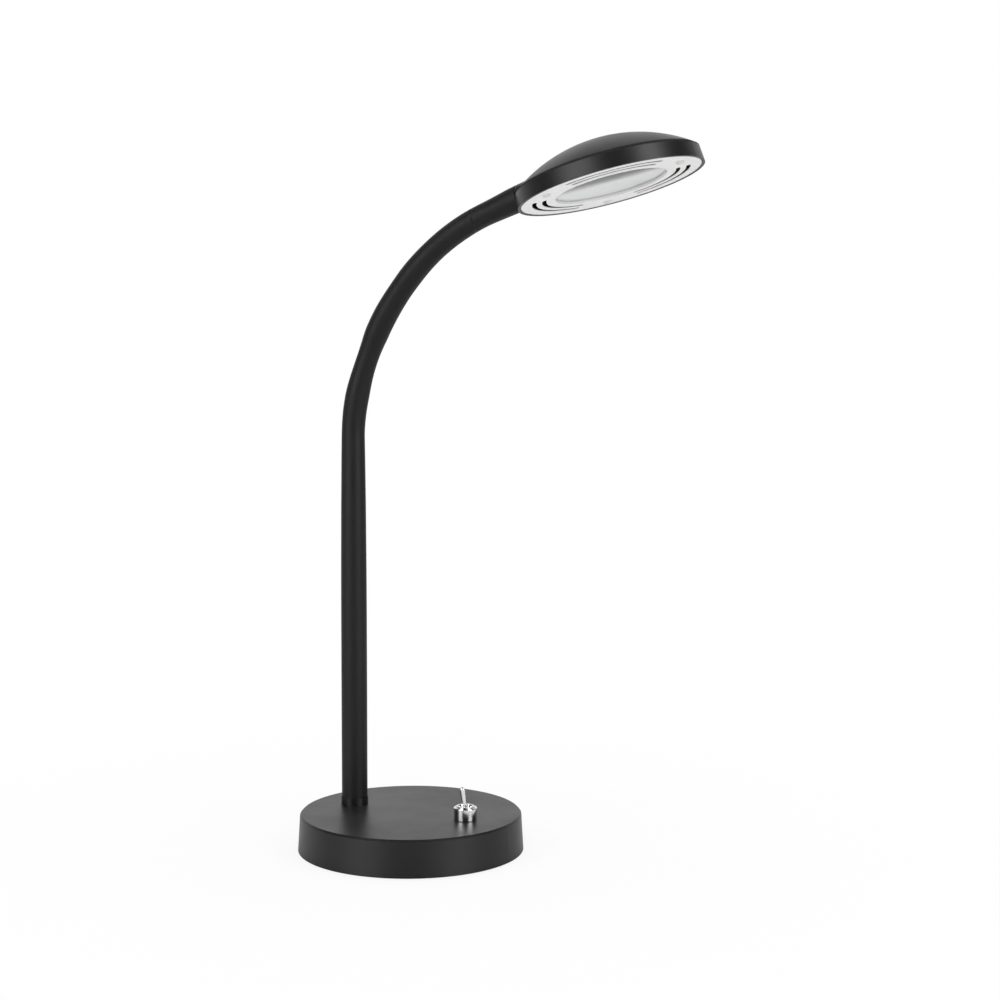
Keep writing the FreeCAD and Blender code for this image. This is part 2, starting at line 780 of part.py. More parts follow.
TRIM_SCREW_ANGLES = (0, 120, 240)
TRIM_TOP = "trim_recess + trim_thickness"
HEAD_REACH = "max(head_lip_radius; head_crease_radius) + head_neck_gap"
RIM_TAPER = "(head_lip_radius - head_crease_radius) * (%s + nest_gap) / head_crease_height" % TRIM_TOP
RIM_INNER = "min(head_lip_radius; head_lip_radius - %s) - head_wall" % RIM_TAPER
LAST = len(LINK_BENDS)
NECK_END = on_plane(LAST, value("head_link_length"))
HEAD_PLACE = NECK_END * Placement(
    Vector(), Rotation(Vector(0, 1, 0), value("head_drop") - 90))
HEAD_PLACE = HEAD_PLACE * Placement(Vector(value(HEAD_REACH), 0, -value("head_inlet_height")), Rotation())


def along_neck(rise):
    """A place on the neck's axis, counted from where the neck meets the head."""
    return on_plane(LAST, value("head_link_length") + rise)


def straight_tool(radius, start, stop):
    """A rod on the neck's axis between two heights over its last plane."""
    return cylinder(radius, "(%s) - (%s)" % (stop, start), place=on_plane(LAST, value(start)))


def head_sleeve():
    """Rubber between the last swivel and the ferrule, flaring towards the head."""
    number = LAST + 1
    end = "head_link_length - ferrule_length"
    wall = cone(sleeve_number(number), "sleeve_flare_radius", end, place=on_plane(LAST))
    return cut(wall, straight_tool(SLEEVE_BORE, "0", end), seat_tool(number))


FERRULE_FOOT = "head_link_length - ferrule_length"
SPIGOT_FOOT = "head_link_length - ferrule_length + hole_gap"
SPIGOT_TOP = "head_link_length + spigot_length"
INNER_END = "head_link_length + spout_inner_length"


def head_core():
    start = core_start(LAST + 1)
    return cut(
        straight_tool("core_radius", start, FERRULE_FOOT),
        straight_tool("core_bore_radius", start, FERRULE_FOOT))


def head_lead():
    reach = "head_link_length + %s - sink_radius - 4.5" % HEAD_REACH
    return straight_tool("lead_radius", core_start(LAST + 1), reach)


def head_ferrule():
    rim = cone(
        "ferrule_radius - 0.4", "ferrule_radius", "ferrule_length", place=on_plane(LAST, value(FERRULE_FOOT)))
    return cut(rim, straight_tool(SLEEVE_BORE, FERRULE_FOOT, "head_link_length"))


def head_spigot():
    return cut(
        straight_tool("core_radius", SPIGOT_FOOT, SPIGOT_TOP),
        straight_tool("core_bore_radius", SPIGOT_FOOT, SPIGOT_TOP))


def head_turned(corners):
    return turned(corners, place=HEAD_PLACE)


def head_round(radius, height, x, rise):
    """An upright cylinder of the head, at a distance from its axis."""
    place = HEAD_PLACE * Placement(Vector(x, 0, value(rise)), Rotation())
    return cylinder(radius, height, place=place)


def head_shell():
    """Domed shell with a spout for the neck and three bosses for the trim ring's screws."""
    dome = head_turned([
        ("head_lip_radius", "0"),
        ("head_crease_radius", "head_crease_height", "dome"),
        ("0", "head_height"),
        ("0", "0"),
    ])
    shoulder_drop = "(head_height - head_crease_height - head_wall * 3 / 4) * 0.36"
    cavity = head_turned([
        (RIM_INNER, "0"),
        (RIM_INNER, TRIM_TOP + " + nest_gap"),
        ("head_crease_radius - head_wall", "head_crease_height - head_wall / 4"),
        ("(head_crease_radius - head_wall) * 0.6", "head_height - head_wall - %s" % shoulder_drop),
        ("0", "head_height - head_wall"),
        ("0", "0"),
    ])
    spout = cone("spout_radius", "spout_radius + spout_flare", "spout_length", place=along_neck(0))
    inner_spout = cylinder("spout_radius", "spout_inner_length", place=along_neck(0))
    bosses = [
        common(trim_boss_rod(angle, "trim_boss_radius", "head_height"), cavity_fill())
        for angle in TRIM_SCREW_ANGLES]
    pilots = [
        trim_boss_rod(angle, "trim_screw_radius + hole_gap / 2", "trim_screw_bite + 0.5")
        for angle in TRIM_SCREW_ANGLES]
    hollow = cut(fused(dome, spout), cavity)
    return cut(
        fused(hollow, inner_spout, *bosses),
        cylinder("core_radius + hole_gap / 2", "spigot_length + 0.3", place=along_neck(0)),
        cylinder("lead_radius + hole_gap * 2", "spout_length + 12", place=along_neck(0)),
        set_screw_rod("set_screw_radius + hole_gap / 2"),
        *pilots)


def cavity_fill():
    """The dome's own outline as a solid, to trim the bosses to it."""
    return head_turned([
        ("head_lip_radius - head_wall / 2", "0"),
        ("head_crease_radius - head_wall / 2", "head_crease_height", "dome"),
        ("0", "head_height - head_wall / 2"),
        ("0", "0"),
    ])


def trim_boss_rod(angle, radius, height):
    rod = head_round(radius, height, value("trim_screw_circle"), TRIM_TOP)
    return at_angle(rod, angle, around=HEAD_PLACE)


def set_screw_rod(radius):
    """A short rod from below the spout up to the spigot, square to the neck."""
    middle = value("spigot_length") * 0.6
    place = along_neck(middle) * Placement(Vector(), Rotation(Vector(0, 1, 0), 90))
    return cylinder(radius, "spout_radius - core_radius + 3", place=place * Placement(
        Vector(0, 0, value("core_radius")), Rotation()))


sub_part("neck_sleeve_%d" % (LAST + 1), head_sleeve())
sub_part("neck_core_%d" % (LAST + 1), head_core())
sub_part("neck_lead_%d" % (LAST + 1), head_lead())
sub_part("head_ferrule", head_ferrule())
sub_part("head_spigot", head_spigot())
sub_part("head_shell", head_shell())

# Trim ring: white plastic plate with arc vents, and a collar that holds lens and reflector.

LENS_FOOT = "lens_recess"
LENS_TOP = "lens_recess + lens_thickness"
COLLAR_INNER = "window_radius + trim_collar_wall"
REFLECTOR_TOP = "%s + reflector_depth" % LENS_TOP


def arc_slot(radius, angle):
    """A round-ended slot along an arc of the trim ring, centred at an angle."""
    height = "trim_thickness + 2"
    foot = "trim_recess - 1"
    outer = head_round("(%s) + slot_width / 2" % radius, height, 0, foot)
    inner = head_round("(%s) - slot_width / 2" % radius, height, 0, foot)
    bind(outer, Angle="slot_span")
    bind(inner, Angle="slot_span")
    start = angle - value("slot_span") / 2
    at_angle(outer, start, around=HEAD_PLACE)
    at_angle(inner, start, around=HEAD_PLACE)
    ends = []
    for turn in (start, start + value("slot_span")):
        end = head_round("slot_width / 2", height, value(radius), foot)
        ends.append(at_angle(end, turn, around=HEAD_PLACE))
    return fused(cut(outer, inner), *ends)


def trim_ring():
    plate = head_turned([
        ("window_radius", "trim_recess"),
        (RIM_INNER + " - nest_gap", "trim_recess"),
        (RIM_INNER + " - nest_gap", TRIM_TOP),
        (COLLAR_INNER + " + trim_collar_wall", TRIM_TOP),
        (COLLAR_INNER + " + trim_collar_wall", "trim_collar_height"),
        (COLLAR_INNER, "trim_collar_height"),
        (COLLAR_INNER, LENS_FOOT),
        ("window_radius - 0.6", LENS_FOOT),
    ])
    slots = []
    for angle in (60, 180, 300):
        slots.append(arc_slot("slot_outer_radius", angle))
        slots.append(arc_slot("slot_inner_radius", angle))
    holes = []
    for angle in TRIM_SCREW_ANGLES:
        hole = head_round(
            "trim_screw_radius + hole_gap", "trim_thickness + 2", value("trim_screw_circle"), "trim_recess - 1")
        holes.append(at_angle(hole, angle, around=HEAD_PLACE))
    return cut(plate, *slots, *holes)


def trim_screws():
    screws = []
    for angle in TRIM_SCREW_ANGLES:
        shank = head_round(
            "trim_screw_radius", "trim_thickness + trim_screw_bite", value("trim_screw_circle"), "trim_recess")
        place = HEAD_PLACE * Placement(
            Vector(value("trim_screw_circle"), 0, value("trim_recess - trim_screw_head_height")), Rotation())
        head = cone(
            "trim_screw_head_radius - trim_screw_head_taper", "trim_screw_head_radius", "trim_screw_head_height",
            place=place)
        screws.append(fused(*[at_angle(piece, angle, around=HEAD_PLACE) for piece in (shank, head)]))
    group = doc.addObject("Part::Compound", "TrimScrews")
    group.Links = screws
    return group


def lens():
    return head_turned([
        ("0", LENS_FOOT),
        (COLLAR_INNER + " - nest_gap", LENS_FOOT),
        (COLLAR_INNER + " - nest_gap", LENS_TOP),
        ("0", LENS_TOP),
    ])


def reflector():
    """Bright bowl with a flange that sits on the lens inside the collar."""
    flange = COLLAR_INNER + " - nest_gap"
    waist = LENS_TOP + " + reflector_depth * 0.58"
    return head_turned([
        ("window_radius", LENS_TOP),
        ("window_radius * 0.73", waist),
        ("reflector_neck_radius", REFLECTOR_TOP),
        ("reflector_neck_radius + reflector_lip", REFLECTOR_TOP),
        ("window_radius * 0.73 + reflector_wall", waist),
        ("window_radius + reflector_wall", LENS_TOP + " + reflector_wall"),
        (flange, LENS_TOP + " + reflector_wall"),
        (flange, LENS_TOP),
    ])


BOARD_TOP = REFLECTOR_TOP + " + board_thickness"


def led_board():
    return head_round("board_radius", "board_thickness", 0, REFLECTOR_TOP)


def led_chips():
    chips = []
    foot = REFLECTOR_TOP + " - chip_height"
    for step in range(6):
        chip = bind(
            doc.addObject("Part::Box", "Chip"), Length="chip_size", Width="chip_size", Height="chip_height")
        corner = Vector(value("chip_circle - chip_size / 2"), -value("chip_size") / 2, value(foot))
        chip.Placement = HEAD_PLACE * Placement(corner, Rotation())
        chips.append(at_angle(chip, 60 * step, around=HEAD_PLACE))
    group = doc.addObject("Part::Compound", "Chips")
    group.Links = chips
    return group


def heat_sink():
    """Round plate behind the board with upright rings of fins."""
    plate = head_round("sink_radius", "sink_plate_thickness", 0, BOARD_TOP)
    fins = []
    for radius in ("sink_radius", "sink_radius * 0.6"):
        rise = BOARD_TOP + " + sink_plate_thickness"
        outer = head_round(radius, "sink_fin_height", 0, rise)
        inner = head_round("(%s) - sink_fin_thickness" % radius, "sink_fin_height", 0, rise)
        fins.append(cut(outer, inner))
    return fused(plate, *fins)


sub_part("trim_ring", trim_ring())
sub_part("trim_screws", trim_screws())
sub_part("lens", lens())
sub_part("reflector", reflector())
sub_part("led_board", led_board())
sub_part("led_chips", led_chips())
sub_part("heat_sink", heat_sink())
sub_part("head_set_screw", set_screw_rod("set_screw_radius"))

doc.recompute()
failed = [item.Name for item in doc.Objects if "Invalid" in item.State or "Error" in item.State]
if failed:
    raise RuntimeError("these objects failed: " + ", ".join(failed))
for label, item in SUB_PARTS:
    if item.Shape.isNull() or not item.Shape.isValid():
        raise RuntimeError("no valid shape: " + label)

os.makedirs("parts", exist_ok=True)
for label, item in SUB_PARTS:
    item.Shape.exportStep("parts/%s.step" % label)
    solids = len(item.Shape.Solids)
    print("%-20s %2d solids %10.1f mm3" % (label, solids, item.Shape.Volume))
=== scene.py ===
"""Gooseneck desk lamp: the finish of every surface, the rubber sleeve, the studio and the camera.

Metres. +Z is up, +X points from the neck's foot across the base to the switch, and the origin
is at the middle of the base on the table.
"""

import json
import math

import bmesh
import bpy
from mathutils import Matrix, Vector

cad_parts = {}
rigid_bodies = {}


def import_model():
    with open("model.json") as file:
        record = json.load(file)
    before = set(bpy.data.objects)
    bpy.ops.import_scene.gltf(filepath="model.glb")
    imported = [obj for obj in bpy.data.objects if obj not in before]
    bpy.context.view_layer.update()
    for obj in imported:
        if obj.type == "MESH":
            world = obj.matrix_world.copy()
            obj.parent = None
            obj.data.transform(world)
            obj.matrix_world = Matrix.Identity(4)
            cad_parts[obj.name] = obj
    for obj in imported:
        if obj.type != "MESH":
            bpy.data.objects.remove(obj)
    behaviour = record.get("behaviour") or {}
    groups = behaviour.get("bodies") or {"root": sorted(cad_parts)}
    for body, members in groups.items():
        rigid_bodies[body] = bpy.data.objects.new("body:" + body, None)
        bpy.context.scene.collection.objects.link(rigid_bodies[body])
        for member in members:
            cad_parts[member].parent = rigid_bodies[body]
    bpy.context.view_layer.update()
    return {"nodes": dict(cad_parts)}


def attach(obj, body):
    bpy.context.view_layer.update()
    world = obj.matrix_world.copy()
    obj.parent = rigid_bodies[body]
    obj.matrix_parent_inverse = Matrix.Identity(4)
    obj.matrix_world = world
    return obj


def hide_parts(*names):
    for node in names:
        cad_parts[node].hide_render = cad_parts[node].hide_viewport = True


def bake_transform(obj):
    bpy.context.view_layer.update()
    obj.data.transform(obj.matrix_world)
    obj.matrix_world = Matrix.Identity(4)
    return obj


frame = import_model()

# The base cover: a pressed steel disc, 151 mm across and 25 mm high, painted satin black.
# It narrows slightly upwards and its top edge is turned over with a small bevel.

MILLIMETRE = 0.001
NOISE_LOW = 0.3
NOISE_HIGH = 0.7
DUST_COLOUR = (0.30, 0.29, 0.28)
DUST_SLOPE = 0.55
DUST_THIN = 0.35
DUST_THICK = 0.75


def add_node(tree, kind, **settings):
    node = tree.nodes.new(kind)
    for name, setting in settings.items():
        setattr(node, name, setting)
    return node


def start_group(name, inputs, outputs):
    """An empty node group with float inputs and named outputs."""
    tree = bpy.data.node_groups.new(name, "ShaderNodeTree")
    for socket_name, default in inputs:
        socket = tree.interface.new_socket(socket_name, in_out="INPUT", socket_type="NodeSocketFloat")
        socket.default_value = default
    for socket_name in outputs:
        tree.interface.new_socket(socket_name, in_out="OUTPUT", socket_type="NodeSocketFloat")
    return tree, add_node(tree, "NodeGroupInput"), add_node(tree, "NodeGroupOutput")


def noise_on_surface(tree, coordinates, scale, detail, roughness=0.5):
    """A noise texture in the object's own space, with its scale in cells per metre."""
    noise = add_node(tree, "ShaderNodeTexNoise")
    tree.links.new(coordinates, noise.inputs["Vector"])
    if isinstance(scale, (int, float)):
        noise.inputs["Scale"].default_value = scale
    else:
        tree.links.new(scale, noise.inputs["Scale"])
    noise.inputs["Detail"].default_value = detail
    noise.inputs["Roughness"].default_value = roughness
    return noise.outputs[0]


def remap(tree, source, from_low, from_high, to_low, to_high):
    """Map one range of a value to another; each limit is a number or a socket."""
    node = add_node(tree, "ShaderNodeMapRange")
    tree.links.new(source, node.inputs["Value"])
    limits = {"From Min": from_low, "From Max": from_high, "To Min": to_low, "To Max": to_high}
    for name, limit in limits.items():
        if isinstance(limit, (int, float)):
            node.inputs[name].default_value = limit
        else:
            tree.links.new(limit, node.inputs[name])
    return node.outputs["Result"]


def multiplied(tree, first, second):
    """The product of two values."""
    node = add_node(tree, "ShaderNodeMath", operation="MULTIPLY")
    tree.links.new(first, node.inputs[0])
    tree.links.new(second, node.inputs[1])
    return node.outputs[0]


def sprayed_grain_group():
    """Fine grain of sprayed paint or spark-eroded moulding, with broad uneven patches."""
    tree, given, out = start_group(
        "sprayed_grain",
        [("Grain Size", 1400.0), ("Patch Size", 22.0), ("Rough Low", 0.4), ("Rough High", 0.5)],
        ["Grain", "Patches", "Roughness"])
    place = add_node(tree, "ShaderNodeTexCoord").outputs["Object"]
    grain = noise_on_surface(tree, place, given.outputs["Grain Size"], 3.0, 0.6)
    patches = noise_on_surface(tree, place, given.outputs["Patch Size"], 4.0, 0.55)
    rough = remap(
        tree, patches, NOISE_LOW, NOISE_HIGH, given.outputs["Rough Low"], given.outputs["Rough High"])
    tree.links.new(grain, out.inputs["Grain"])
    tree.links.new(patches, out.inputs["Patches"])
    tree.links.new(rough, out.inputs["Roughness"])
    return tree


def settled_dust_group():
    """A thin veil of dust that only lies on surfaces that face up."""
    tree, given, out = start_group("settled_dust", [("Amount", 0.1)], ["Dust"])
    coordinates = add_node(tree, "ShaderNodeTexCoord")
    upward = add_node(tree, "ShaderNodeSeparateXYZ")
    tree.links.new(coordinates.outputs["Normal"], upward.inputs["Vector"])
    facing = remap(tree, upward.outputs["Z"], DUST_SLOPE, 1.0, 0.0, 1.0)
    cloud = noise_on_surface(tree, coordinates.outputs["Object"], 55.0, 6.0, 0.65)
    cover = remap(tree, cloud, DUST_THIN, DUST_THICK, 0.0, 1.0)
    lying = multiplied(tree, facing, cover)
    tree.links.new(multiplied(tree, lying, given.outputs["Amount"]), out.inputs["Dust"])
    return tree


SPRAYED_GRAIN = sprayed_grain_group()
SETTLED_DUST = settled_dust_group()


def start_material(name, **shader_settings):
    """A material with one Principled shader whose plain values are set on its own sockets."""
    material = bpy.data.materials.new(name)
    material.use_nodes = True
    tree = material.node_tree
    tree.nodes.clear()
    output = add_node(tree, "ShaderNodeOutputMaterial")
    shader = add_node(tree, "ShaderNodeBsdfPrincipled")
    tree.links.new(shader.outputs["BSDF"], output.inputs["Surface"])
    for socket_name, setting in shader_settings.items():
        shader.inputs[socket_name.replace("_", " ")].default_value = setting
    return material, tree, shader


def place_group(tree, group, **values):
    node = add_node(tree, "ShaderNodeGroup", node_tree=group)
    for socket_name, setting in values.items():
        node.inputs[socket_name.replace("_", " ")].default_value = setting
    return node


def blend_colours(tree, factor, low, high):
    """Two colours mixed by a mask; each is an RGB triple or a socket."""
    mix = add_node(tree, "ShaderNodeMix", data_type="RGBA")
    tree.links.new(factor, mix.inputs[0])
    for socket, colour in ((mix.inputs[6], low), (mix.inputs[7], high)):
        if isinstance(colour, tuple):
            socket.default_value = (*colour, 1.0)
        else:
            tree.links.new(colour, socket)
    return mix.outputs[2]


def raise_bumps(tree, shader, height, depth, strength):
    """Feed a height to the shader's normal; the depth is in metres."""
    bump = add_node(tree, "ShaderNodeBump")
    bump.inputs["Distance"].default_value = depth
    bump.inputs["Strength"].default_value = strength
    tree.links.new(height, bump.inputs["Height"])
    tree.links.new(bump.outputs["Normal"], shader.inputs["Normal"])


def lay_skin(tree, shader, colour, skin, relief, depth, strength):
    """Give the shader a colour, and the sheen and the relief of a placed skin group."""
    tree.links.new(colour, shader.inputs["Base Color"])
    tree.links.new(skin.outputs["Roughness"], shader.inputs["Roughness"])
    raise_bumps(tree, shader, skin.outputs[relief], depth, strength)


def place_grain(tree, grain, patches, rough):
    return place_group(
        tree, SPRAYED_GRAIN, Grain_Size=grain, Patch_Size=patches, Rough_Low=rough[0], Rough_High=rough[1])


def dusty_black(tree, dark, light, grain, rough, dust):
    """The colour of a black skin under its veil of dust, and that skin."""
    skin = place_grain(tree, grain, 24.0, rough)
    veil = place_group(tree, SETTLED_DUST, Amount=dust)
    body = blend_colours(tree, skin.outputs["Patches"], dark, light)
    return blend_colours(tree, veil.outputs["Dust"], body, DUST_COLOUR), skin


def black_finish(name, dark, light, grain, rough, dust, depth, specular):
    """A black surface with grain, broad patches of sheen and a veil of dust."""
    material, tree, shader = start_material(name, Specular_IOR_Level=specular)
    colour, skin = dusty_black(tree, dark, light, grain, rough, dust)
    lay_skin(tree, shader, colour, skin, "Grain", depth, 0.5)
    return material


def dress(material, *nodes):
    """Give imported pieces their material."""
    for node in nodes:
        piece = frame["nodes"][node]
        if not piece.material_slots:
            piece.data.materials.append(material)
        for slot in piece.material_slots:
            slot.material = material


SATIN_BLACK_PAINT = black_finish(
    "satin_black_paint", dark=(0.005, 0.005, 0.0053), light=(0.0085, 0.0085, 0.009), grain=1500.0,
    rough=(0.34, 0.42), dust=0.04, depth=0.00006, specular=0.3)
dress(SATIN_BLACK_PAINT, "base_cover")

# The weight in the base: a cast iron disc with a window for the wiring. It has the rough dark
# skin of a sand casting and lies on the bottom plate.


def grained_surface(name, dark, light, grain, patches, rough, depth, strength, **constants):
    """A surface with a grain, and with patches in its colour and its sheen."""
    material, tree, shader = start_material(name, **constants)
    skin = place_grain(tree, grain, patches, rough)
    colour = blend_colours(tree, skin.outputs["Patches"], dark, light)
    lay_skin(tree, shader, colour, skin, "Grain", depth, strength)
    return material


CAST_IRON_SKIN = grained_surface(
    "cast_iron_skin", dark=(0.055, 0.052, 0.050), light=(0.12, 0.105, 0.095), grain=420.0, patches=45.0,
    rough=(0.55, 0.8), depth=0.0004, strength=0.8, Metallic=0.75)
dress(CAST_IRON_SKIN, "base_weight")

# Bottom plate, its three screws, and the washers, nuts and tubes inside: zinc-plated steel,
# with the faint hairlines of rolled sheet and a slight yellow cast of passivation.


def drawn_hairlines_group():
    """Fine parallel lines as rolling and turning leave them, and a mottled tint."""
    tree, given, out = start_group(
        "drawn_hairlines",
        [("Along X", 30.0), ("Along Z", 1800.0), ("Rough Low", 0.2), ("Rough High", 0.35)],
        ["Lines", "Mottle", "Roughness"])
    place = add_node(tree, "ShaderNodeTexCoord").outputs["Object"]
    stretch = add_node(tree, "ShaderNodeCombineXYZ")
    tree.links.new(given.outputs["Along X"], stretch.inputs["X"])
    tree.links.new(given.outputs["Along X"], stretch.inputs["Y"])
    tree.links.new(given.outputs["Along Z"], stretch.inputs["Z"])
    stretched = add_node(tree, "ShaderNodeVectorMath", operation="MULTIPLY")
    tree.links.new(place, stretched.inputs[0])
    tree.links.new(stretch.outputs[0], stretched.inputs[1])
    lines = noise_on_surface(tree, stretched.outputs[0], 1.0, 3.0, 0.6)
    mottle = noise_on_surface(tree, place, 140.0, 3.0, 0.5)
    rough = remap(
        tree, lines, NOISE_LOW, NOISE_HIGH, given.outputs["Rough Low"], given.outputs["Rough High"])
    tree.links.new(lines, out.inputs["Lines"])
    tree.links.new(mottle, out.inputs["Mottle"])
    tree.links.new(rough, out.inputs["Roughness"])
    return tree


DRAWN_HAIRLINES = drawn_hairlines_group()


def bright_metal(name, dark, light, rough, along, across, depth):
    """A bare or plated metal with hairlines in its gloss."""
    material, tree, shader = start_material(name, Metallic=1.0)
    skin = place_group(
        tree, DRAWN_HAIRLINES, Along_X=along, Along_Z=across, Rough_Low=rough[0], Rough_High=rough[1])
    colour = blend_colours(tree, skin.outputs["Mottle"], dark, light)
    lay_skin(tree, shader, colour, skin, "Lines", depth, 0.3)
    return material


ZINC_PLATE = bright_metal(
    "zinc_plate", dark=(0.50, 0.50, 0.46), light=(0.66, 0.66, 0.64), rough=(0.28, 0.42), along=60.0,
    across=1500.0, depth=0.00002)
dress(
    ZINC_PLATE, "base_plate", "base_screws", "neck_stud", "foot_washer", "foot_nut", "neck_post",
    "head_spigot", "switch_lock_washer", "head_set_screw")

# Foot pad: a disc of black cellular foam glued under the plate, so that the base grips the
# table and doesn't scratch it.


def black_foam():
    material, tree, shader = start_material("black_foam", Specular_IOR_Level=0.25)
    place = add_node(tree, "ShaderNodeTexCoord").outputs["Object"]
    cells = add_node(tree, "ShaderNodeTexVoronoi")
    tree.links.new(place, cells.inputs["Vector"])
    cells.inputs["Scale"].default_value = 1100.0
    colour = blend_colours(tree, cells.outputs["Distance"], (0.012, 0.012, 0.012), (0.035, 0.035, 0.036))
    tree.links.new(colour, shader.inputs["Base Color"])
    rough = remap(tree, cells.outputs["Distance"], 0.0, 1.0, 0.8, 0.95)
    tree.links.new(rough, shader.inputs["Roughness"])
    raise_bumps(tree, shader, cells.outputs["Distance"], 0.0003, 0.7)
    return material


dress(black_foam(), "base_pad")

# Cord inlet: a soft black rubber bush snapped into the back of the cover. The same rubber,
# with a fine matt grain and slightly shinier patches, covers the neck.

SLEEVE_RUBBER = grained_surface(
    "sleeve_rubber", dark=(0.0045, 0.0045, 0.0048), light=(0.0085, 0.0085, 0.009), grain=2300.0,
    patches=40.0, rough=(0.46, 0.56), depth=0.00003, strength=0.5, Specular_IOR_Level=0.22)
dress(SLEEVE_RUBBER, "cord_grommet")

# Foot collar: a short ring of painted steel round the hollow stud that clamps the neck to the
# cover. The end of the sleeve stands on it.

dress(SATIN_BLACK_PAINT, "neck_collar")

# Rubber sleeve of the neck: one smooth extruded tube from the foot collar to the ferrule on
# the head. It is straight round the post and curves evenly along each link of the gooseneck, in
# one stretch over each swivel. Its last stretch turns on a ball formed inside it, next to the head.

NECK_X = -45.2 * MILLIMETRE
SLEEVE_FOOT = 30.7 * MILLIMETRE
STRAIGHT_TOP = 275.2 * MILLIMETRE
LINK_LENGTH = 23.8 * MILLIMETRE
LINK_BENDS = [math.radians(bend) for bend in (11.5, 9.0, 5.2, 9.9, 6.3, 9.1, 9.0, 8.8)]
LAST_STRETCH = 26.5 * MILLIMETRE
NECK_LENGTH = len(LINK_BENDS) * LINK_LENGTH + LAST_STRETCH
POST_TOP = -13.5 * MILLIMETRE
BORE_ON_POST = 6.45 * MILLIMETRE
BORE_ON_CORE = 5.8 * MILLIMETRE
SHOULDER_HALF = 0.01 * MILLIMETRE
SWIVEL_DROP = 7.8 * MILLIMETRE
SEAM_INSET = 1.0 * MILLIMETRE
SLEEVE_SIDES = 56
RING_STEP = 2.0 * MILLIMETRE
BALL_RADIUS = 6.9 * MILLIMETRE
BALL_STEPS = 10
BALL_LIP = 0.05 * MILLIMETRE
BALL_START = 0.001 * MILLIMETRE
SOCKET_RADIUS = 7.0 * MILLIMETRE
SOCKET_DEPTH = 10.5 * MILLIMETRE

# Distance along the neck from the top of its straight stretch, and the radius there, in mm.
SLEEVE_PROFILE = [
    (-246.0, 8.74), (-124.0, 8.71), (-86.0, 8.6), (-66.0, 8.48), (-45.0, 8.35), (-32.0, 8.2),
    (-18.0, 8.06), (-5.0, 7.88), (3.0, 7.78), (12.0, 7.84), (20.0, 7.95), (30.0, 8.0), (36.0, 7.78),
    (42.0, 7.5), (50.0, 7.25), (58.0, 7.22), (66.0, 7.55), (72.0, 7.95), (80.0, 8.05), (90.0, 8.05),
    (96.0, 7.94), (108.0, 7.78), (120.0, 7.85), (132.0, 7.7), (144.0, 7.55), (168.0, 7.58),
    (190.0, 7.55), (198.0, 7.8), (204.0, 8.05), (211.0, 8.35), (217.0, 8.4),
]


def sleeve_radius(along):
    """Outer radius of the rubber along the neck, on a smooth curve through the sizes."""
    millimetres = min(max(along / MILLIMETRE, SLEEVE_PROFILE[0][0]), SLEEVE_PROFILE[-1][0])
    index = 0
    while millimetres > SLEEVE_PROFILE[index + 1][0]:
        index += 1
    before, start, stop, after = (
        SLEEVE_PROFILE[min(max(place, 0), len(SLEEVE_PROFILE) - 1)] for place in range(index - 1, index + 3))
    span = stop[0] - start[0]
    part = (millimetres - start[0]) / span
    slope_in = (stop[1] - before[1]) / (stop[0] - before[0]) * span
    slope_out = (after[1] - start[1]) / (after[0] - start[0]) * span
    rise = stop[1] - start[1]
    bulge = part * (1 - part) * ((slope_in - rise) * (1 - part) - (slope_out - rise) * part)
    return (start[1] + rise * part + bulge) * MILLIMETRE


def bore_radius(along):
    """The rubber is opened out where it goes over the post."""
    return BORE_ON_POST if along < POST_TOP else BORE_ON_CORE


def neck_place(along):
    """Point and heading of the neck's middle line at a distance along it."""
    x, z, heading = NECK_X, STRAIGHT_TOP, 0.0
    if along <= 0:
        return Vector((x, 0, z + along)), heading
    for bend in LINK_BENDS:
        turned = bend * min(along / LINK_LENGTH, 1.0)
        chord = LINK_LENGTH * math.cos(bend / 2) * math.sin(turned / 2) / math.sin(bend / 2)
        x += chord * math.sin(heading + turned / 2)
        z += chord * math.cos(heading + turned / 2)
        heading += turned
        along -= LINK_LENGTH
        if along <= 0:
            return Vector((x, 0, z)), heading
    return Vector((x + along * math.sin(heading), 0, z + along * math.cos(heading))), heading


def ring_of_corners(shape, along, radius, beyond=0.0):
    """A ring square to the neck, at a distance along it or straight beyond that point."""
    middle, heading = neck_place(along)
    middle = middle + Vector((math.sin(heading), 0, math.cos(heading))) * beyond
    across = Vector((math.cos(heading), 0, -math.sin(heading)))
    corners = []
    for side in range(SLEEVE_SIDES):
        angle = 2 * math.pi * side / SLEEVE_SIDES
        aside = Vector((0, radius * math.sin(angle), 0))
        corners.append(shape.verts.new(middle + across * (radius * math.cos(angle)) + aside))
    return corners


def close_band(shape, lower, upper, smooth):
    """A band of faces between two rings with the same number of corners."""
    for side in range(len(lower)):
        after = (side + 1) % len(lower)
        shape.faces.new((lower[side], lower[after], upper[after], upper[side])).smooth = smooth


def finish_piece(name, shape, material):
    """Turn a shape into an object of its own with one material."""
    mesh = bpy.data.meshes.new(name)
    shape.to_mesh(mesh)
    shape.free()
    piece = bpy.data.objects.new(name, mesh)
    bpy.context.scene.collection.objects.link(piece)
    mesh.materials.append(material)
    return piece


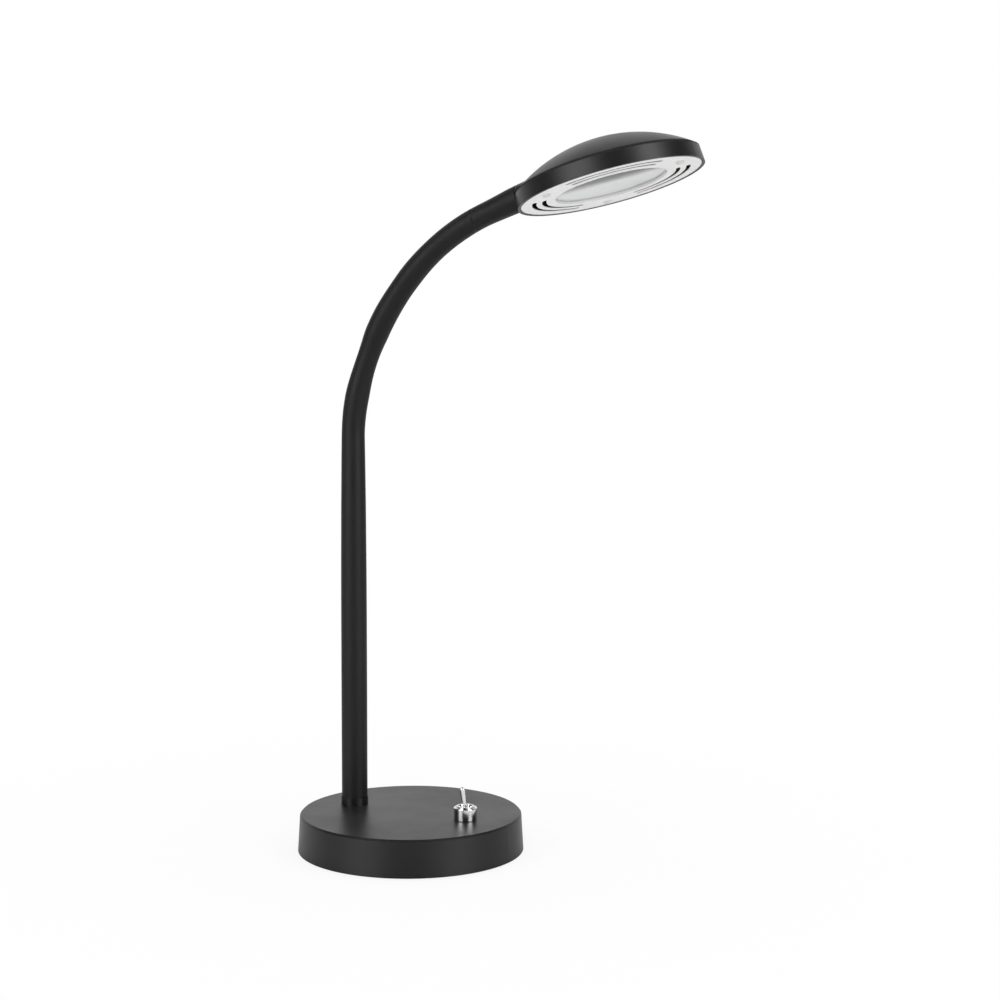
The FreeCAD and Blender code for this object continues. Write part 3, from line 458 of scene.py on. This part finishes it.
def sleeve_stretch(name, start, stop, ball=False, socket=False):
    """A closed stretch of the tube between two distances along the neck.

    A ball closes round the bore beyond its far end. A socket leaves room for such a ball, and for
    the core link inside it, at the near end.
    """
    steps = max(2, round((stop - start) / RING_STEP))
    stations = [start + (stop - start) * step / steps for step in range(steps + 1)]
    for shoulder in (POST_TOP, start + SOCKET_DEPTH if socket else start):
        if start < shoulder < stop:
            stations = sorted(stations + [shoulder - SHOULDER_HALF, shoulder + SHOULDER_HALF])
    shape = bmesh.new()
    outside = []
    inside = []
    for along in stations:
        bore = SOCKET_RADIUS if socket and along < start + SOCKET_DEPTH else bore_radius(along)
        outside.append(ring_of_corners(shape, along, sleeve_radius(along)))
        inside.append(ring_of_corners(shape, along, bore))
    if ball:
        bore = bore_radius(stop)
        end_turn = math.acos((bore + BALL_LIP) / BALL_RADIUS)
        for step in range(BALL_STEPS + 1):
            turn = end_turn * step / BALL_STEPS
            beyond = BALL_RADIUS * math.sin(turn)
            outside.append(ring_of_corners(shape, stop, BALL_RADIUS * math.cos(turn), beyond))
            inside.append(ring_of_corners(shape, stop, bore, beyond + BALL_START))
    for lower, upper in zip(outside, outside[1:]):
        close_band(shape, lower, upper, True)
    for lower, upper in zip(inside, inside[1:]):
        close_band(shape, upper, lower, True)
    close_band(shape, inside[0], outside[0], False)
    close_band(shape, outside[-1], inside[-1], False)
    bmesh.ops.recalc_face_normals(shape, faces=shape.faces)
    for edge in shape.edges:
        edge.smooth = all(face.smooth for face in edge.link_faces)
    piece = finish_piece(name, shape, SLEEVE_RUBBER)
    return piece


LINK_BODIES = ["base"] + ["neck_link_%d" % number for number in range(1, 9)] + ["head"]
swivels = [index * LINK_LENGTH - SWIVEL_DROP for index in range(len(LINK_BODIES) - 1)]
seams = [swivels[0] - LINK_LENGTH / 2]
seams += [(low + high) / 2 for low, high in zip(swivels, swivels[1:])]

root = sleeve_stretch("sleeve_root", SLEEVE_FOOT - STRAIGHT_TOP, seams[0])
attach(root, "base")
for index, (lower, upper) in enumerate(zip(LINK_BODIES[:-1], LINK_BODIES[1:-1])):
    stretch = sleeve_stretch("sleeve_bend_%d" % index, seams[index], seams[index + 1])
    tuple(neck_place(seams[index] + SEAM_INSET)[0])
    tuple(neck_place(seams[index + 1] - SEAM_INSET)[0])
    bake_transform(stretch)
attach(sleeve_stretch("sleeve_bend_8", seams[-1], swivels[-1], ball=True), "neck_link_8")
tip = sleeve_stretch("sleeve_tip", swivels[-1], NECK_LENGTH, socket=True)
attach(tip, "head")
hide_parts("neck_sleeve_0")
for index in range(1, 9):
    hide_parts("neck_sleeve_%d" % index)
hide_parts("neck_sleeve_9")

# Gooseneck core: hollow steel links that hold the bend by friction, under the rubber. The
# mains lead runs through them in its black sheath from the switch to the light unit.

CORE_STEEL = bright_metal(
    "core_steel", dark=(0.30, 0.30, 0.30), light=(0.42, 0.42, 0.43), rough=(0.3, 0.45), along=200.0,
    across=900.0, depth=0.00004)
LEAD_SHEATH = black_finish(
    "lead_sheath", dark=(0.02, 0.02, 0.02), light=(0.03, 0.03, 0.03), grain=1800.0, rough=(0.35, 0.45),
    dust=0.0, depth=0.00003, specular=0.45)
for index in range(len(LINK_BODIES)):
    dress(CORE_STEEL, "neck_core_%d" % index)
    dress(LEAD_SHEATH, "neck_lead_%d" % index)

# Toggle switch: a moulded black case under the cover with brass blades, held by a threaded
# bushing. The bushing, the pivot pin and the bat lever are chromed brass.

CHROME = bright_metal(
    "chrome", dark=(0.66, 0.66, 0.66), light=(0.76, 0.76, 0.76), rough=(0.08, 0.16), along=80.0,
    across=900.0, depth=0.00001)
dress(CHROME, "switch_bushing", "switch_lever", "switch_pivot_pin")
CASE_MOULDING = black_finish(
    "case_moulding", dark=(0.02, 0.02, 0.02), light=(0.03, 0.03, 0.032), grain=700.0, rough=(0.3, 0.4),
    dust=0.0, depth=0.00003, specular=0.5)
dress(CASE_MOULDING, "switch_body")
BRASS = bright_metal(
    "brass", dark=(0.56, 0.40, 0.17), light=(0.72, 0.55, 0.26), rough=(0.2, 0.35), along=90.0, across=1200.0,
    depth=0.00002)
dress(BRASS, "switch_terminals")

# Dress nut: the round chromed nut that clamps the switch to the cover. Its wall is straight
# between a chamfered foot and a rounded shoulder, so it catches the light in upright bands.

NUT_RADIUS = 7.8 * MILLIMETRE
NUT_BORE = 6.0 * MILLIMETRE
NUT_HEIGHT = 8.4 * MILLIMETRE
NUT_FOOT = 25.2 * MILLIMETRE
NUT_CHAMFER = 0.4 * MILLIMETRE
NUT_ROUNDING = 0.7 * MILLIMETRE
ROUNDING_STEPS = 8
NUT_SIDES = 96
SWITCH_X = 42.4 * MILLIMETRE
CREASE_ANGLE = math.radians(32)
WELD_DISTANCE = 1e-7


def turned_piece(name, outline, sides, place, material):
    """A closed piece turned from an outline of radius and height about the Z axis.

    An outline that starts and ends on the axis gives a disc, and any other a ring.
    """
    shape = bmesh.new()
    rings = []
    for radius, height in outline:
        ring = []
        for side in range(sides):
            angle = 2 * math.pi * side / sides
            point = Vector((radius * math.cos(angle), radius * math.sin(angle), height))
            ring.append(shape.verts.new(place @ point))
        rings.append(ring)
    is_disc = outline[0][0] == 0 and outline[-1][0] == 0
    for lower, upper in zip(rings, rings[1:] + ([] if is_disc else rings[:1])):
        close_band(shape, lower, upper, True)
    bmesh.ops.remove_doubles(shape, verts=shape.verts, dist=WELD_DISTANCE)
    bmesh.ops.recalc_face_normals(shape, faces=shape.faces)
    for edge in shape.edges:
        edge.smooth = edge.calc_face_angle(0.0) < CREASE_ANGLE
    return finish_piece(name, shape, material)


def nut_outline():
    """Bore, chamfered foot, straight wall and rounded shoulder of the nut."""
    outline = [(NUT_BORE, 0.0), (NUT_RADIUS - NUT_CHAMFER, 0.0), (NUT_RADIUS, NUT_CHAMFER)]
    for step in range(ROUNDING_STEPS + 1):
        angle = math.pi / 2 * step / ROUNDING_STEPS
        radius = NUT_RADIUS - NUT_ROUNDING * (1 - math.cos(angle))
        outline.append((radius, NUT_HEIGHT - NUT_ROUNDING * (1 - math.sin(angle))))
    outline.append((NUT_BORE + NUT_CHAMFER, NUT_HEIGHT))
    outline.append((NUT_BORE, NUT_HEIGHT - NUT_CHAMFER))
    return outline


TURNED_CHROME = bright_metal(
    "turned_chrome", dark=(0.62, 0.62, 0.62), light=(0.72, 0.72, 0.72), rough=(0.1, 0.16), along=10.0,
    across=3200.0, depth=0.00006)
nut_place = Matrix.Translation((SWITCH_X, 0, NUT_FOOT))
nut = turned_piece("dress_nut", nut_outline(), NUT_SIDES, nut_place, TURNED_CHROME)
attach(nut, "base")
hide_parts("switch_dress_nut")

# Head shell: a shallow black dome moulded in one piece with its rim band and the short spout
# that takes the end of the neck. The ferrule closes the end of the sleeve against it.

HEAD_TILT = math.radians(4.9)
FERRULE_LENGTH = 2.0 * MILLIMETRE
HEAD_REACH = 60.5 * MILLIMETRE
SPOUT_HEIGHT = 13.26 * MILLIMETRE
HEAD_LEAN = sum(LINK_BENDS) + HEAD_TILT - math.radians(90.0)
HEAD_TURN = Matrix.Rotation(HEAD_LEAN, 4, "Y")
HEAD_PLACE = Matrix.Translation(neck_place(NECK_LENGTH + FERRULE_LENGTH)[0]) @ HEAD_TURN
HEAD_PLACE = HEAD_PLACE @ Matrix.Translation((HEAD_REACH, 0, -SPOUT_HEIGHT))
HEAD_MIDDLE = HEAD_PLACE.to_translation()
HEAD_AXIS = HEAD_TURN @ Vector((0, 0, 1))
CREASE_HEIGHT = 10.2 * MILLIMETRE
CREASE_BAND_START = CREASE_HEIGHT - 0.9 * MILLIMETRE
CREASE_BAND_FADE = CREASE_HEIGHT + 0.4 * MILLIMETRE
CREASE_BAND_END = CREASE_HEIGHT + 1.6 * MILLIMETRE
CREASE_BAND_INSIDE = 52.0 * MILLIMETRE
CREASE_BAND_OUTSIDE = 55.0 * MILLIMETRE
CREASE_PAINTED_SHADE = (0.002, 0.002, 0.002)
CREASE_BAND_ROUGHNESS = (0.85, 0.85, 0.85)


def head_ruler_group():
    """Height over the head's lip and distance from its axis, in metres."""
    tree = bpy.data.node_groups.new("head_ruler", "ShaderNodeTree")
    tree.interface.new_socket("Position", in_out="INPUT", socket_type="NodeSocketVector")
    for name in ("Height", "Radius"):
        tree.interface.new_socket(name, in_out="OUTPUT", socket_type="NodeSocketFloat")
    given = add_node(tree, "NodeGroupInput")
    out = add_node(tree, "NodeGroupOutput")
    offset = add_node(tree, "ShaderNodeVectorMath", operation="SUBTRACT")
    tree.links.new(given.outputs["Position"], offset.inputs[0])
    offset.inputs[1].default_value = HEAD_MIDDLE
    height = add_node(tree, "ShaderNodeVectorMath", operation="DOT_PRODUCT")
    tree.links.new(offset.outputs["Vector"], height.inputs[0])
    height.inputs[1].default_value = HEAD_AXIS
    flat = add_node(tree, "ShaderNodeVectorMath", operation="CROSS_PRODUCT")
    tree.links.new(offset.outputs["Vector"], flat.inputs[0])
    flat.inputs[1].default_value = HEAD_AXIS
    radius = add_node(tree, "ShaderNodeVectorMath", operation="LENGTH")
    tree.links.new(flat.outputs["Vector"], radius.inputs[0])
    tree.links.new(height.outputs["Value"], out.inputs["Height"])
    tree.links.new(radius.outputs["Value"], out.inputs["Radius"])
    return tree


HEAD_RULER = head_ruler_group()


def head_moulding():
    """Satin black plastic, with a matt band along the crease between dome and rim whose colour is darkened
    to near black as painted shade.
    """
    material, tree, shader = start_material("satin_black_moulding", Specular_IOR_Level=0.3)
    dusty, skin = dusty_black(
        tree, dark=(0.005, 0.005, 0.0053), light=(0.009, 0.009, 0.0095), grain=1300.0, rough=(0.34, 0.42),
        dust=0.04)
    place = place_group(tree, HEAD_RULER)
    tree.links.new(add_node(tree, "ShaderNodeTexCoord").outputs["Object"], place.inputs["Position"])
    rising = remap(tree, place.outputs["Height"], CREASE_BAND_START, CREASE_HEIGHT, 0.0, 1.0)
    falling = remap(tree, place.outputs["Height"], CREASE_BAND_FADE, CREASE_BAND_END, 1.0, 0.0)
    outside = remap(tree, place.outputs["Radius"], CREASE_BAND_INSIDE, CREASE_BAND_OUTSIDE, 0.0, 1.0)
    crease_band_and_painted_shade = multiplied(tree, multiplied(tree, rising, falling), outside)
    # Painted shade: the colour is darkened to near black along the crease band.
    tree.links.new(blend_colours(tree, crease_band_and_painted_shade, dusty, CREASE_PAINTED_SHADE), shader.inputs["Base Color"])
    rough = blend_colours(tree, crease_band_and_painted_shade, skin.outputs["Roughness"], CREASE_BAND_ROUGHNESS)
    tree.links.new(rough, shader.inputs["Roughness"])
    raise_bumps(tree, shader, skin.outputs["Grain"], 0.00006, 0.5)
    return material


dress(head_moulding(), "head_shell")
dress(SATIN_BLACK_PAINT, "head_ferrule")

# Trim ring: a white moulded plate with three pairs of curved vents, held by three screws. Its
# collar carries the lens. The walls of the vents are white at the face, and further in their
# colour is painted black as painted shade. The screws are lacquered white, and the same painted
# shade darkens their recesses.

VENT_PAINTED_SHADE = (0.012, 0.012, 0.012)
COLLAR_OUTSIDE = (40.4 * MILLIMETRE, 40.8 * MILLIMETRE)
RIM_INSIDE = (52.0 * MILLIMETRE, 53.0 * MILLIMETRE)
WHITE_LIP = (0.55 * MILLIMETRE, 0.80 * MILLIMETRE)
WALL_SLOPE = (0.3, 0.6)


def white_moulding(name, dark, light):
    """White plastic or lacquer, painted black on upright walls between the collar and the rim as painted
    shade.
    """
    material, tree, shader = start_material(name, Specular_IOR_Level=0.45)
    skin = place_grain(tree, grain=1500.0, patches=30.0, rough=(0.3, 0.4))
    colour = blend_colours(tree, skin.outputs["Patches"], dark, light)
    coordinates = add_node(tree, "ShaderNodeTexCoord")
    facing = add_node(tree, "ShaderNodeVectorMath", operation="DOT_PRODUCT")
    tree.links.new(coordinates.outputs["Normal"], facing.inputs[0])
    facing.inputs[1].default_value = HEAD_AXIS
    upright = add_node(tree, "ShaderNodeMath", operation="ABSOLUTE")
    tree.links.new(facing.outputs["Value"], upright.inputs[0])
    on_wall = remap(tree, upright.outputs[0], *WALL_SLOPE, 1.0, 0.0)
    place = place_group(tree, HEAD_RULER)
    tree.links.new(coordinates.outputs["Object"], place.inputs["Position"])
    beyond_collar = remap(tree, place.outputs["Radius"], *COLLAR_OUTSIDE, 0.0, 1.0)
    within_rim = remap(tree, place.outputs["Radius"], *RIM_INSIDE, 1.0, 0.0)
    behind_lip = remap(tree, place.outputs["Height"], *WHITE_LIP, 0.0, 1.0)
    between = multiplied(tree, beyond_collar, within_rim)
    vent_painted_shade = multiplied(tree, between, multiplied(tree, on_wall, behind_lip))
    # Painted shade: upright walls inside the vents and recesses are coloured near black.
    colour_with_vent_shade = blend_colours(tree, vent_painted_shade, colour, VENT_PAINTED_SHADE)
    lay_skin(tree, shader, colour_with_vent_shade, skin, "Grain", depth=0.00003, strength=0.4)
    return material


dress(white_moulding("white_moulding", (0.85, 0.85, 0.84), (0.90, 0.90, 0.90)), "trim_ring")
dress(white_moulding("white_lacquer", (0.66, 0.66, 0.65), (0.74, 0.74, 0.73)), "trim_screws")

# Lens: a disc of clear acrylic that rests with its rim on the ledge of the ring's collar. Its
# face stands forward in the window and swells a little.

LENS_RADIUS = 36.9 * MILLIMETRE
LENS_EDGE = 2.9 * MILLIMETRE
LENS_BACK = 5.1 * MILLIMETRE
LENS_FACE_RADIUS = 35.4 * MILLIMETRE
LENS_FACE = 1.6 * MILLIMETRE
LENS_SWELL = 0.6 * MILLIMETRE
CURVE_STEPS = 24
HEAD_SIDES = 128


def clear_lens():
    """Clear acrylic with the faintest ripple of moulding."""
    material, tree, shader = start_material(
        "clear_lens", Base_Color=(0.97, 0.98, 0.98, 1.0), Transmission_Weight=1.0, IOR=1.49)
    skin = place_grain(tree, grain=120.0, patches=35.0, rough=(0.01, 0.05))
    tree.links.new(skin.outputs["Roughness"], shader.inputs["Roughness"])
    raise_bumps(tree, shader, skin.outputs["Grain"], 0.00002, 0.15)
    return material


def lens_outline():
    """Flat back, a rim that rests in the collar, and a face that fills the window."""
    outline = [
        (0, LENS_BACK), (LENS_RADIUS, LENS_BACK), (LENS_RADIUS, LENS_EDGE),
        (LENS_FACE_RADIUS, LENS_EDGE), (LENS_FACE_RADIUS, LENS_FACE)]
    for step in range(1, CURVE_STEPS + 1):
        part = step / CURVE_STEPS
        outline.append((LENS_FACE_RADIUS * (1 - part), LENS_FACE - LENS_SWELL * (1 - (1 - part) ** 2)))
    return outline


glass = turned_piece("domed_lens", lens_outline(), HEAD_SIDES, HEAD_PLACE, clear_lens())
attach(glass, "head")
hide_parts("lens")

# Reflector: a bowl with a satin silver-white finish, open at its neck for the light board. Its
# flat flange lies on the lens inside the collar.

BOWL_MOUTH = 35.6 * MILLIMETRE
BOWL_FLANGE = 36.8 * MILLIMETRE
BOWL_NECK = 14.0 * MILLIMETRE
BOWL_DEPTH = 11.0 * MILLIMETRE
BOWL_CURVE = 1.6
BOWL_SHEET = 0.8 * MILLIMETRE
SHEET_RISE = 0.3
SILVER_WHITE = grained_surface(
    "silver_white", dark=(0.90, 0.90, 0.90), light=(0.95, 0.95, 0.95), grain=60.0, patches=60.0,
    rough=(0.16, 0.26), depth=0.00003, strength=0.4, Metallic=0.35)


def bowl_outline():
    """Flange, outside and inside of the bowl, from its flat foot up to the neck."""
    curve = []
    for step in range(CURVE_STEPS + 1):
        part = step / CURVE_STEPS
        rise = BOWL_DEPTH * (1 - (1 - part) ** BOWL_CURVE)
        curve.append((BOWL_MOUTH + (BOWL_NECK - BOWL_MOUTH) * part, LENS_BACK + rise))
    outline = [(BOWL_FLANGE, LENS_BACK), (BOWL_FLANGE, LENS_BACK + BOWL_SHEET)]
    for radius, height in curve:
        if radius < BOWL_MOUTH - BOWL_SHEET:
            outline.append((radius + BOWL_SHEET, height + BOWL_SHEET * SHEET_RISE))
    outline.append((BOWL_NECK + BOWL_SHEET, LENS_BACK + BOWL_DEPTH))
    return outline + curve[::-1]


bowl = turned_piece("reflector_bowl", bowl_outline(), HEAD_SIDES, HEAD_PLACE, SILVER_WHITE)
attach(bowl, "head")
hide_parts("reflector")

# Light board: a white-masked disc with six square light chips under yellow phosphor. It lies
# flat against a finned aluminium heat sink, which takes its warmth.

BOARD_MASK = grained_surface(
    "board_mask", dark=(0.91, 0.92, 0.91), light=(0.95, 0.96, 0.95), grain=900.0, patches=60.0,
    rough=(0.3, 0.45), depth=0.00003, strength=0.4)
dress(BOARD_MASK, "led_board")
PHOSPHOR = grained_surface(
    "phosphor", dark=(0.90, 0.80, 0.42), light=(0.95, 0.88, 0.56), grain=2500.0, patches=60.0,
    rough=(0.4, 0.6), depth=0.00003, strength=0.4)
dress(PHOSPHOR, "led_chips")
SINK_ALUMINIUM = bright_metal(
    "sink_aluminium", dark=(0.60, 0.61, 0.62), light=(0.74, 0.75, 0.76), rough=(0.3, 0.45), along=100.0,
    across=1200.0, depth=0.00003)
dress(SINK_ALUMINIUM, "heat_sink")

# Studio: a plain white floor that runs into a white background, one broad lamp overhead and
# two softboxes beside the camera.

WHITE = (1.0, 1.0, 1.0, 1.0)
FLOOR_RADIUS = 14.0
FLOOR_SIDES = 96
FLOOR_PAINT = (0.86, 0.86, 0.86, 1.0)
FLOOR_FADE = (0.1, 0.5)
FLOOR_WHITENESS = (0.86, 1.0)
ROOM_LIGHT = 0.55
ROOM_SHADE = 0.05
BACKDROP_AZIMUTH = math.radians(32.0)
BACKDROP_FADE = (0.3, 0.8)
SOFTBOX_AZIMUTHS = [math.radians(-18.0), math.radians(80.0)]
SOFTBOX_DISTANCE = 1.7
SOFTBOX_GLOW = 5.8
SOFTBOX_SIDE_FADE = (math.cos(0.35), math.cos(0.25))
SOFTBOX_TOP_FADE = (0.76, 0.88)


def added(tree, first, second):
    """The sum of two values."""
    node = add_node(tree, "ShaderNodeMath", operation="ADD")
    tree.links.new(first, node.inputs[0])
    tree.links.new(second, node.inputs[1])
    return node.outputs[0]


def seen_rays(tree):
    """One for rays that see the white background, straight from the camera or through the lens."""
    ray = add_node(tree, "ShaderNodeLightPath")
    straight = add_node(tree, "ShaderNodeMath", operation="MAXIMUM")
    tree.links.new(ray.outputs["Is Camera Ray"], straight.inputs[0])
    tree.links.new(ray.outputs["Is Transmission Ray"], straight.inputs[1])
    return straight.outputs[0]


def studio_floor():
    """A white disc, a little shaded by the lamp close to it and plain white further out."""
    material = bpy.data.materials.new("studio_floor_paint")
    material.use_nodes = True
    tree = material.node_tree
    tree.nodes.clear()
    output = add_node(tree, "ShaderNodeOutputMaterial")
    paint = add_node(tree, "ShaderNodeBsdfDiffuse")
    paint.inputs["Color"].default_value = FLOOR_PAINT
    white = add_node(tree, "ShaderNodeEmission")
    white.inputs["Color"].default_value = WHITE
    white.inputs["Strength"].default_value = 1.0
    place = add_node(tree, "ShaderNodeTexCoord").outputs["Object"]
    distance = add_node(tree, "ShaderNodeVectorMath", operation="LENGTH")
    tree.links.new(place, distance.inputs[0])
    whiteness = remap(tree, distance.outputs["Value"], *FLOOR_FADE, *FLOOR_WHITENESS)
    mix = add_node(tree, "ShaderNodeMixShader")
    tree.links.new(multiplied(tree, whiteness, seen_rays(tree)), mix.inputs[0])
    tree.links.new(paint.outputs["BSDF"], mix.inputs[1])
    tree.links.new(white.outputs["Emission"], mix.inputs[2])
    tree.links.new(mix.outputs["Shader"], output.inputs["Surface"])
    shape = bmesh.new()
    bmesh.ops.create_circle(shape, cap_ends=True, radius=FLOOR_RADIUS, segments=FLOOR_SIDES)
    floor = finish_piece("studio_floor", shape, material)


def plain_background(tree, strength=1.0):
    node = add_node(tree, "ShaderNodeBackground")
    node.inputs["Color"].default_value = WHITE
    node.inputs["Strength"].default_value = strength
    return node


def studio_world():
    """White behind the object, and an even grey room for light.

    Gloss shows the white backdrop on its side of the room, and on the other side the dark
    studio with the fronts of the two softboxes.
    """
    world = bpy.data.worlds.new("studio_world")
    bpy.context.scene.world = world
    world.use_nodes = True
    tree = world.node_tree
    tree.nodes.clear()
    output = add_node(tree, "ShaderNodeOutputWorld")
    white = plain_background(tree)
    room = plain_background(tree, ROOM_LIGHT)
    reflected = plain_background(tree)
    direction = add_node(tree, "ShaderNodeTexCoord").outputs["Generated"]
    behind = add_node(tree, "ShaderNodeVectorMath", operation="DOT_PRODUCT")
    tree.links.new(direction, behind.inputs[0])
    behind.inputs[1].default_value = (-math.sin(BACKDROP_AZIMUTH), math.cos(BACKDROP_AZIMUTH), 0.0)
    strength = remap(tree, behind.outputs["Value"], *BACKDROP_FADE, ROOM_SHADE, 1.0)
    level = add_node(tree, "ShaderNodeVectorMath", operation="MULTIPLY")
    tree.links.new(direction, level.inputs[0])
    level.inputs[1].default_value = (1.0, 1.0, 0.0)
    flat = add_node(tree, "ShaderNodeVectorMath", operation="NORMALIZE")
    tree.links.new(level.outputs["Vector"], flat.inputs[0])
    rise = add_node(tree, "ShaderNodeSeparateXYZ")
    tree.links.new(direction, rise.inputs[0])
    below_top = remap(tree, rise.outputs["Z"], *SOFTBOX_TOP_FADE, SOFTBOX_GLOW, 0.0)
    for azimuth in SOFTBOX_AZIMUTHS:
        towards = add_node(tree, "ShaderNodeVectorMath", operation="DOT_PRODUCT")
        tree.links.new(flat.outputs["Vector"], towards.inputs[0])
        towards.inputs[1].default_value = (math.sin(azimuth), -math.cos(azimuth), 0.0)
        across = remap(tree, towards.outputs["Value"], *SOFTBOX_SIDE_FADE, 0.0, 1.0)
        strength = added(tree, strength, multiplied(tree, across, below_top))
    tree.links.new(strength, reflected.inputs["Strength"])
    ray = add_node(tree, "ShaderNodeLightPath")
    by_gloss = add_node(tree, "ShaderNodeMixShader")
    tree.links.new(ray.outputs["Is Glossy Ray"], by_gloss.inputs[0])
    tree.links.new(room.outputs["Background"], by_gloss.inputs[1])
    tree.links.new(reflected.outputs["Background"], by_gloss.inputs[2])
    mix = add_node(tree, "ShaderNodeMixShader")
    tree.links.new(seen_rays(tree), mix.inputs[0])
    tree.links.new(by_gloss.outputs["Shader"], mix.inputs[1])
    tree.links.new(white.outputs["Background"], mix.inputs[2])
    tree.links.new(mix.outputs["Shader"], output.inputs["Surface"])


def softbox(name, place, aim, width, height, power):
    """A rectangular area lamp that gloss doesn't show, since the room shows it instead."""
    lamp = bpy.data.lights.new(name, "AREA")
    lamp.shape = "RECTANGLE"
    lamp.size = width
    lamp.size_y = height
    lamp.energy = power
    holder = bpy.data.objects.new(name, lamp)
    holder.location = place
    holder.rotation_euler = (Vector(aim) - Vector(place)).to_track_quat("-Z", "Y").to_euler()
    holder.visible_glossy = False
    bpy.context.scene.collection.objects.link(holder)


studio_floor()
studio_world()
softbox(
    "overhead_softbox", place=(0.1, 0.1, 1.9), aim=(0.05, 0.0, 0.2), width=1.6, height=1.6, power=17.0)
for azimuth, side in zip(SOFTBOX_AZIMUTHS, ("left", "right")):
    stand = (SOFTBOX_DISTANCE * math.sin(azimuth), -SOFTBOX_DISTANCE * math.cos(azimuth), 0.8)
    softbox(side + "_softbox", stand, aim=(0.0, 0.0, 0.25), width=0.9, height=1.4, power=7.0)

# Camera: at the height of the upper neck, 1.3 m from the lamp, turned and tilted down a
# little, with a 72 mm lens on a 36 mm wide sensor.

CAMERA_AZIMUTH = math.radians(32.003)
CAMERA_DISTANCE = 1.32235
CAMERA_HEIGHT = 0.36061
CAMERA_PAN = math.radians(-2.572)
CAMERA_TILT = math.radians(5.402)
CAMERA_ROLL = math.radians(0.148)
CAMERA_LENS = 72.08

heading = CAMERA_AZIMUTH + CAMERA_PAN
forward = Vector((
    -math.sin(heading) * math.cos(CAMERA_TILT),
    math.cos(heading) * math.cos(CAMERA_TILT),
    -math.sin(CAMERA_TILT)))
level_right = forward.cross(Vector((0, 0, 1))).normalized()
level_up = level_right.cross(forward)
right = level_right * math.cos(CAMERA_ROLL) + level_up * math.sin(CAMERA_ROLL)
up = level_up * math.cos(CAMERA_ROLL) - level_right * math.sin(CAMERA_ROLL)

lens = bpy.data.cameras.new("studio_camera")
lens.sensor_fit = "HORIZONTAL"
lens.sensor_width = 36.0
lens.lens = CAMERA_LENS
lens.clip_start = 0.05
lens.clip_end = 60.0
camera = bpy.data.objects.new("studio_camera", lens)
turn = Matrix((right, up, -forward)).transposed().to_4x4()
stand_point = Vector((
    CAMERA_DISTANCE * math.sin(CAMERA_AZIMUTH), -CAMERA_DISTANCE * math.cos(CAMERA_AZIMUTH), CAMERA_HEIGHT))
camera.matrix_world = Matrix.Translation(stand_point) @ turn
bpy.context.scene.collection.objects.link(camera)
bpy.context.scene.camera = camera
bpy.context.scene.view_settings.view_transform = "Standard"


def corners(box):
    return [[float(number) for number in corner] for corner in box]
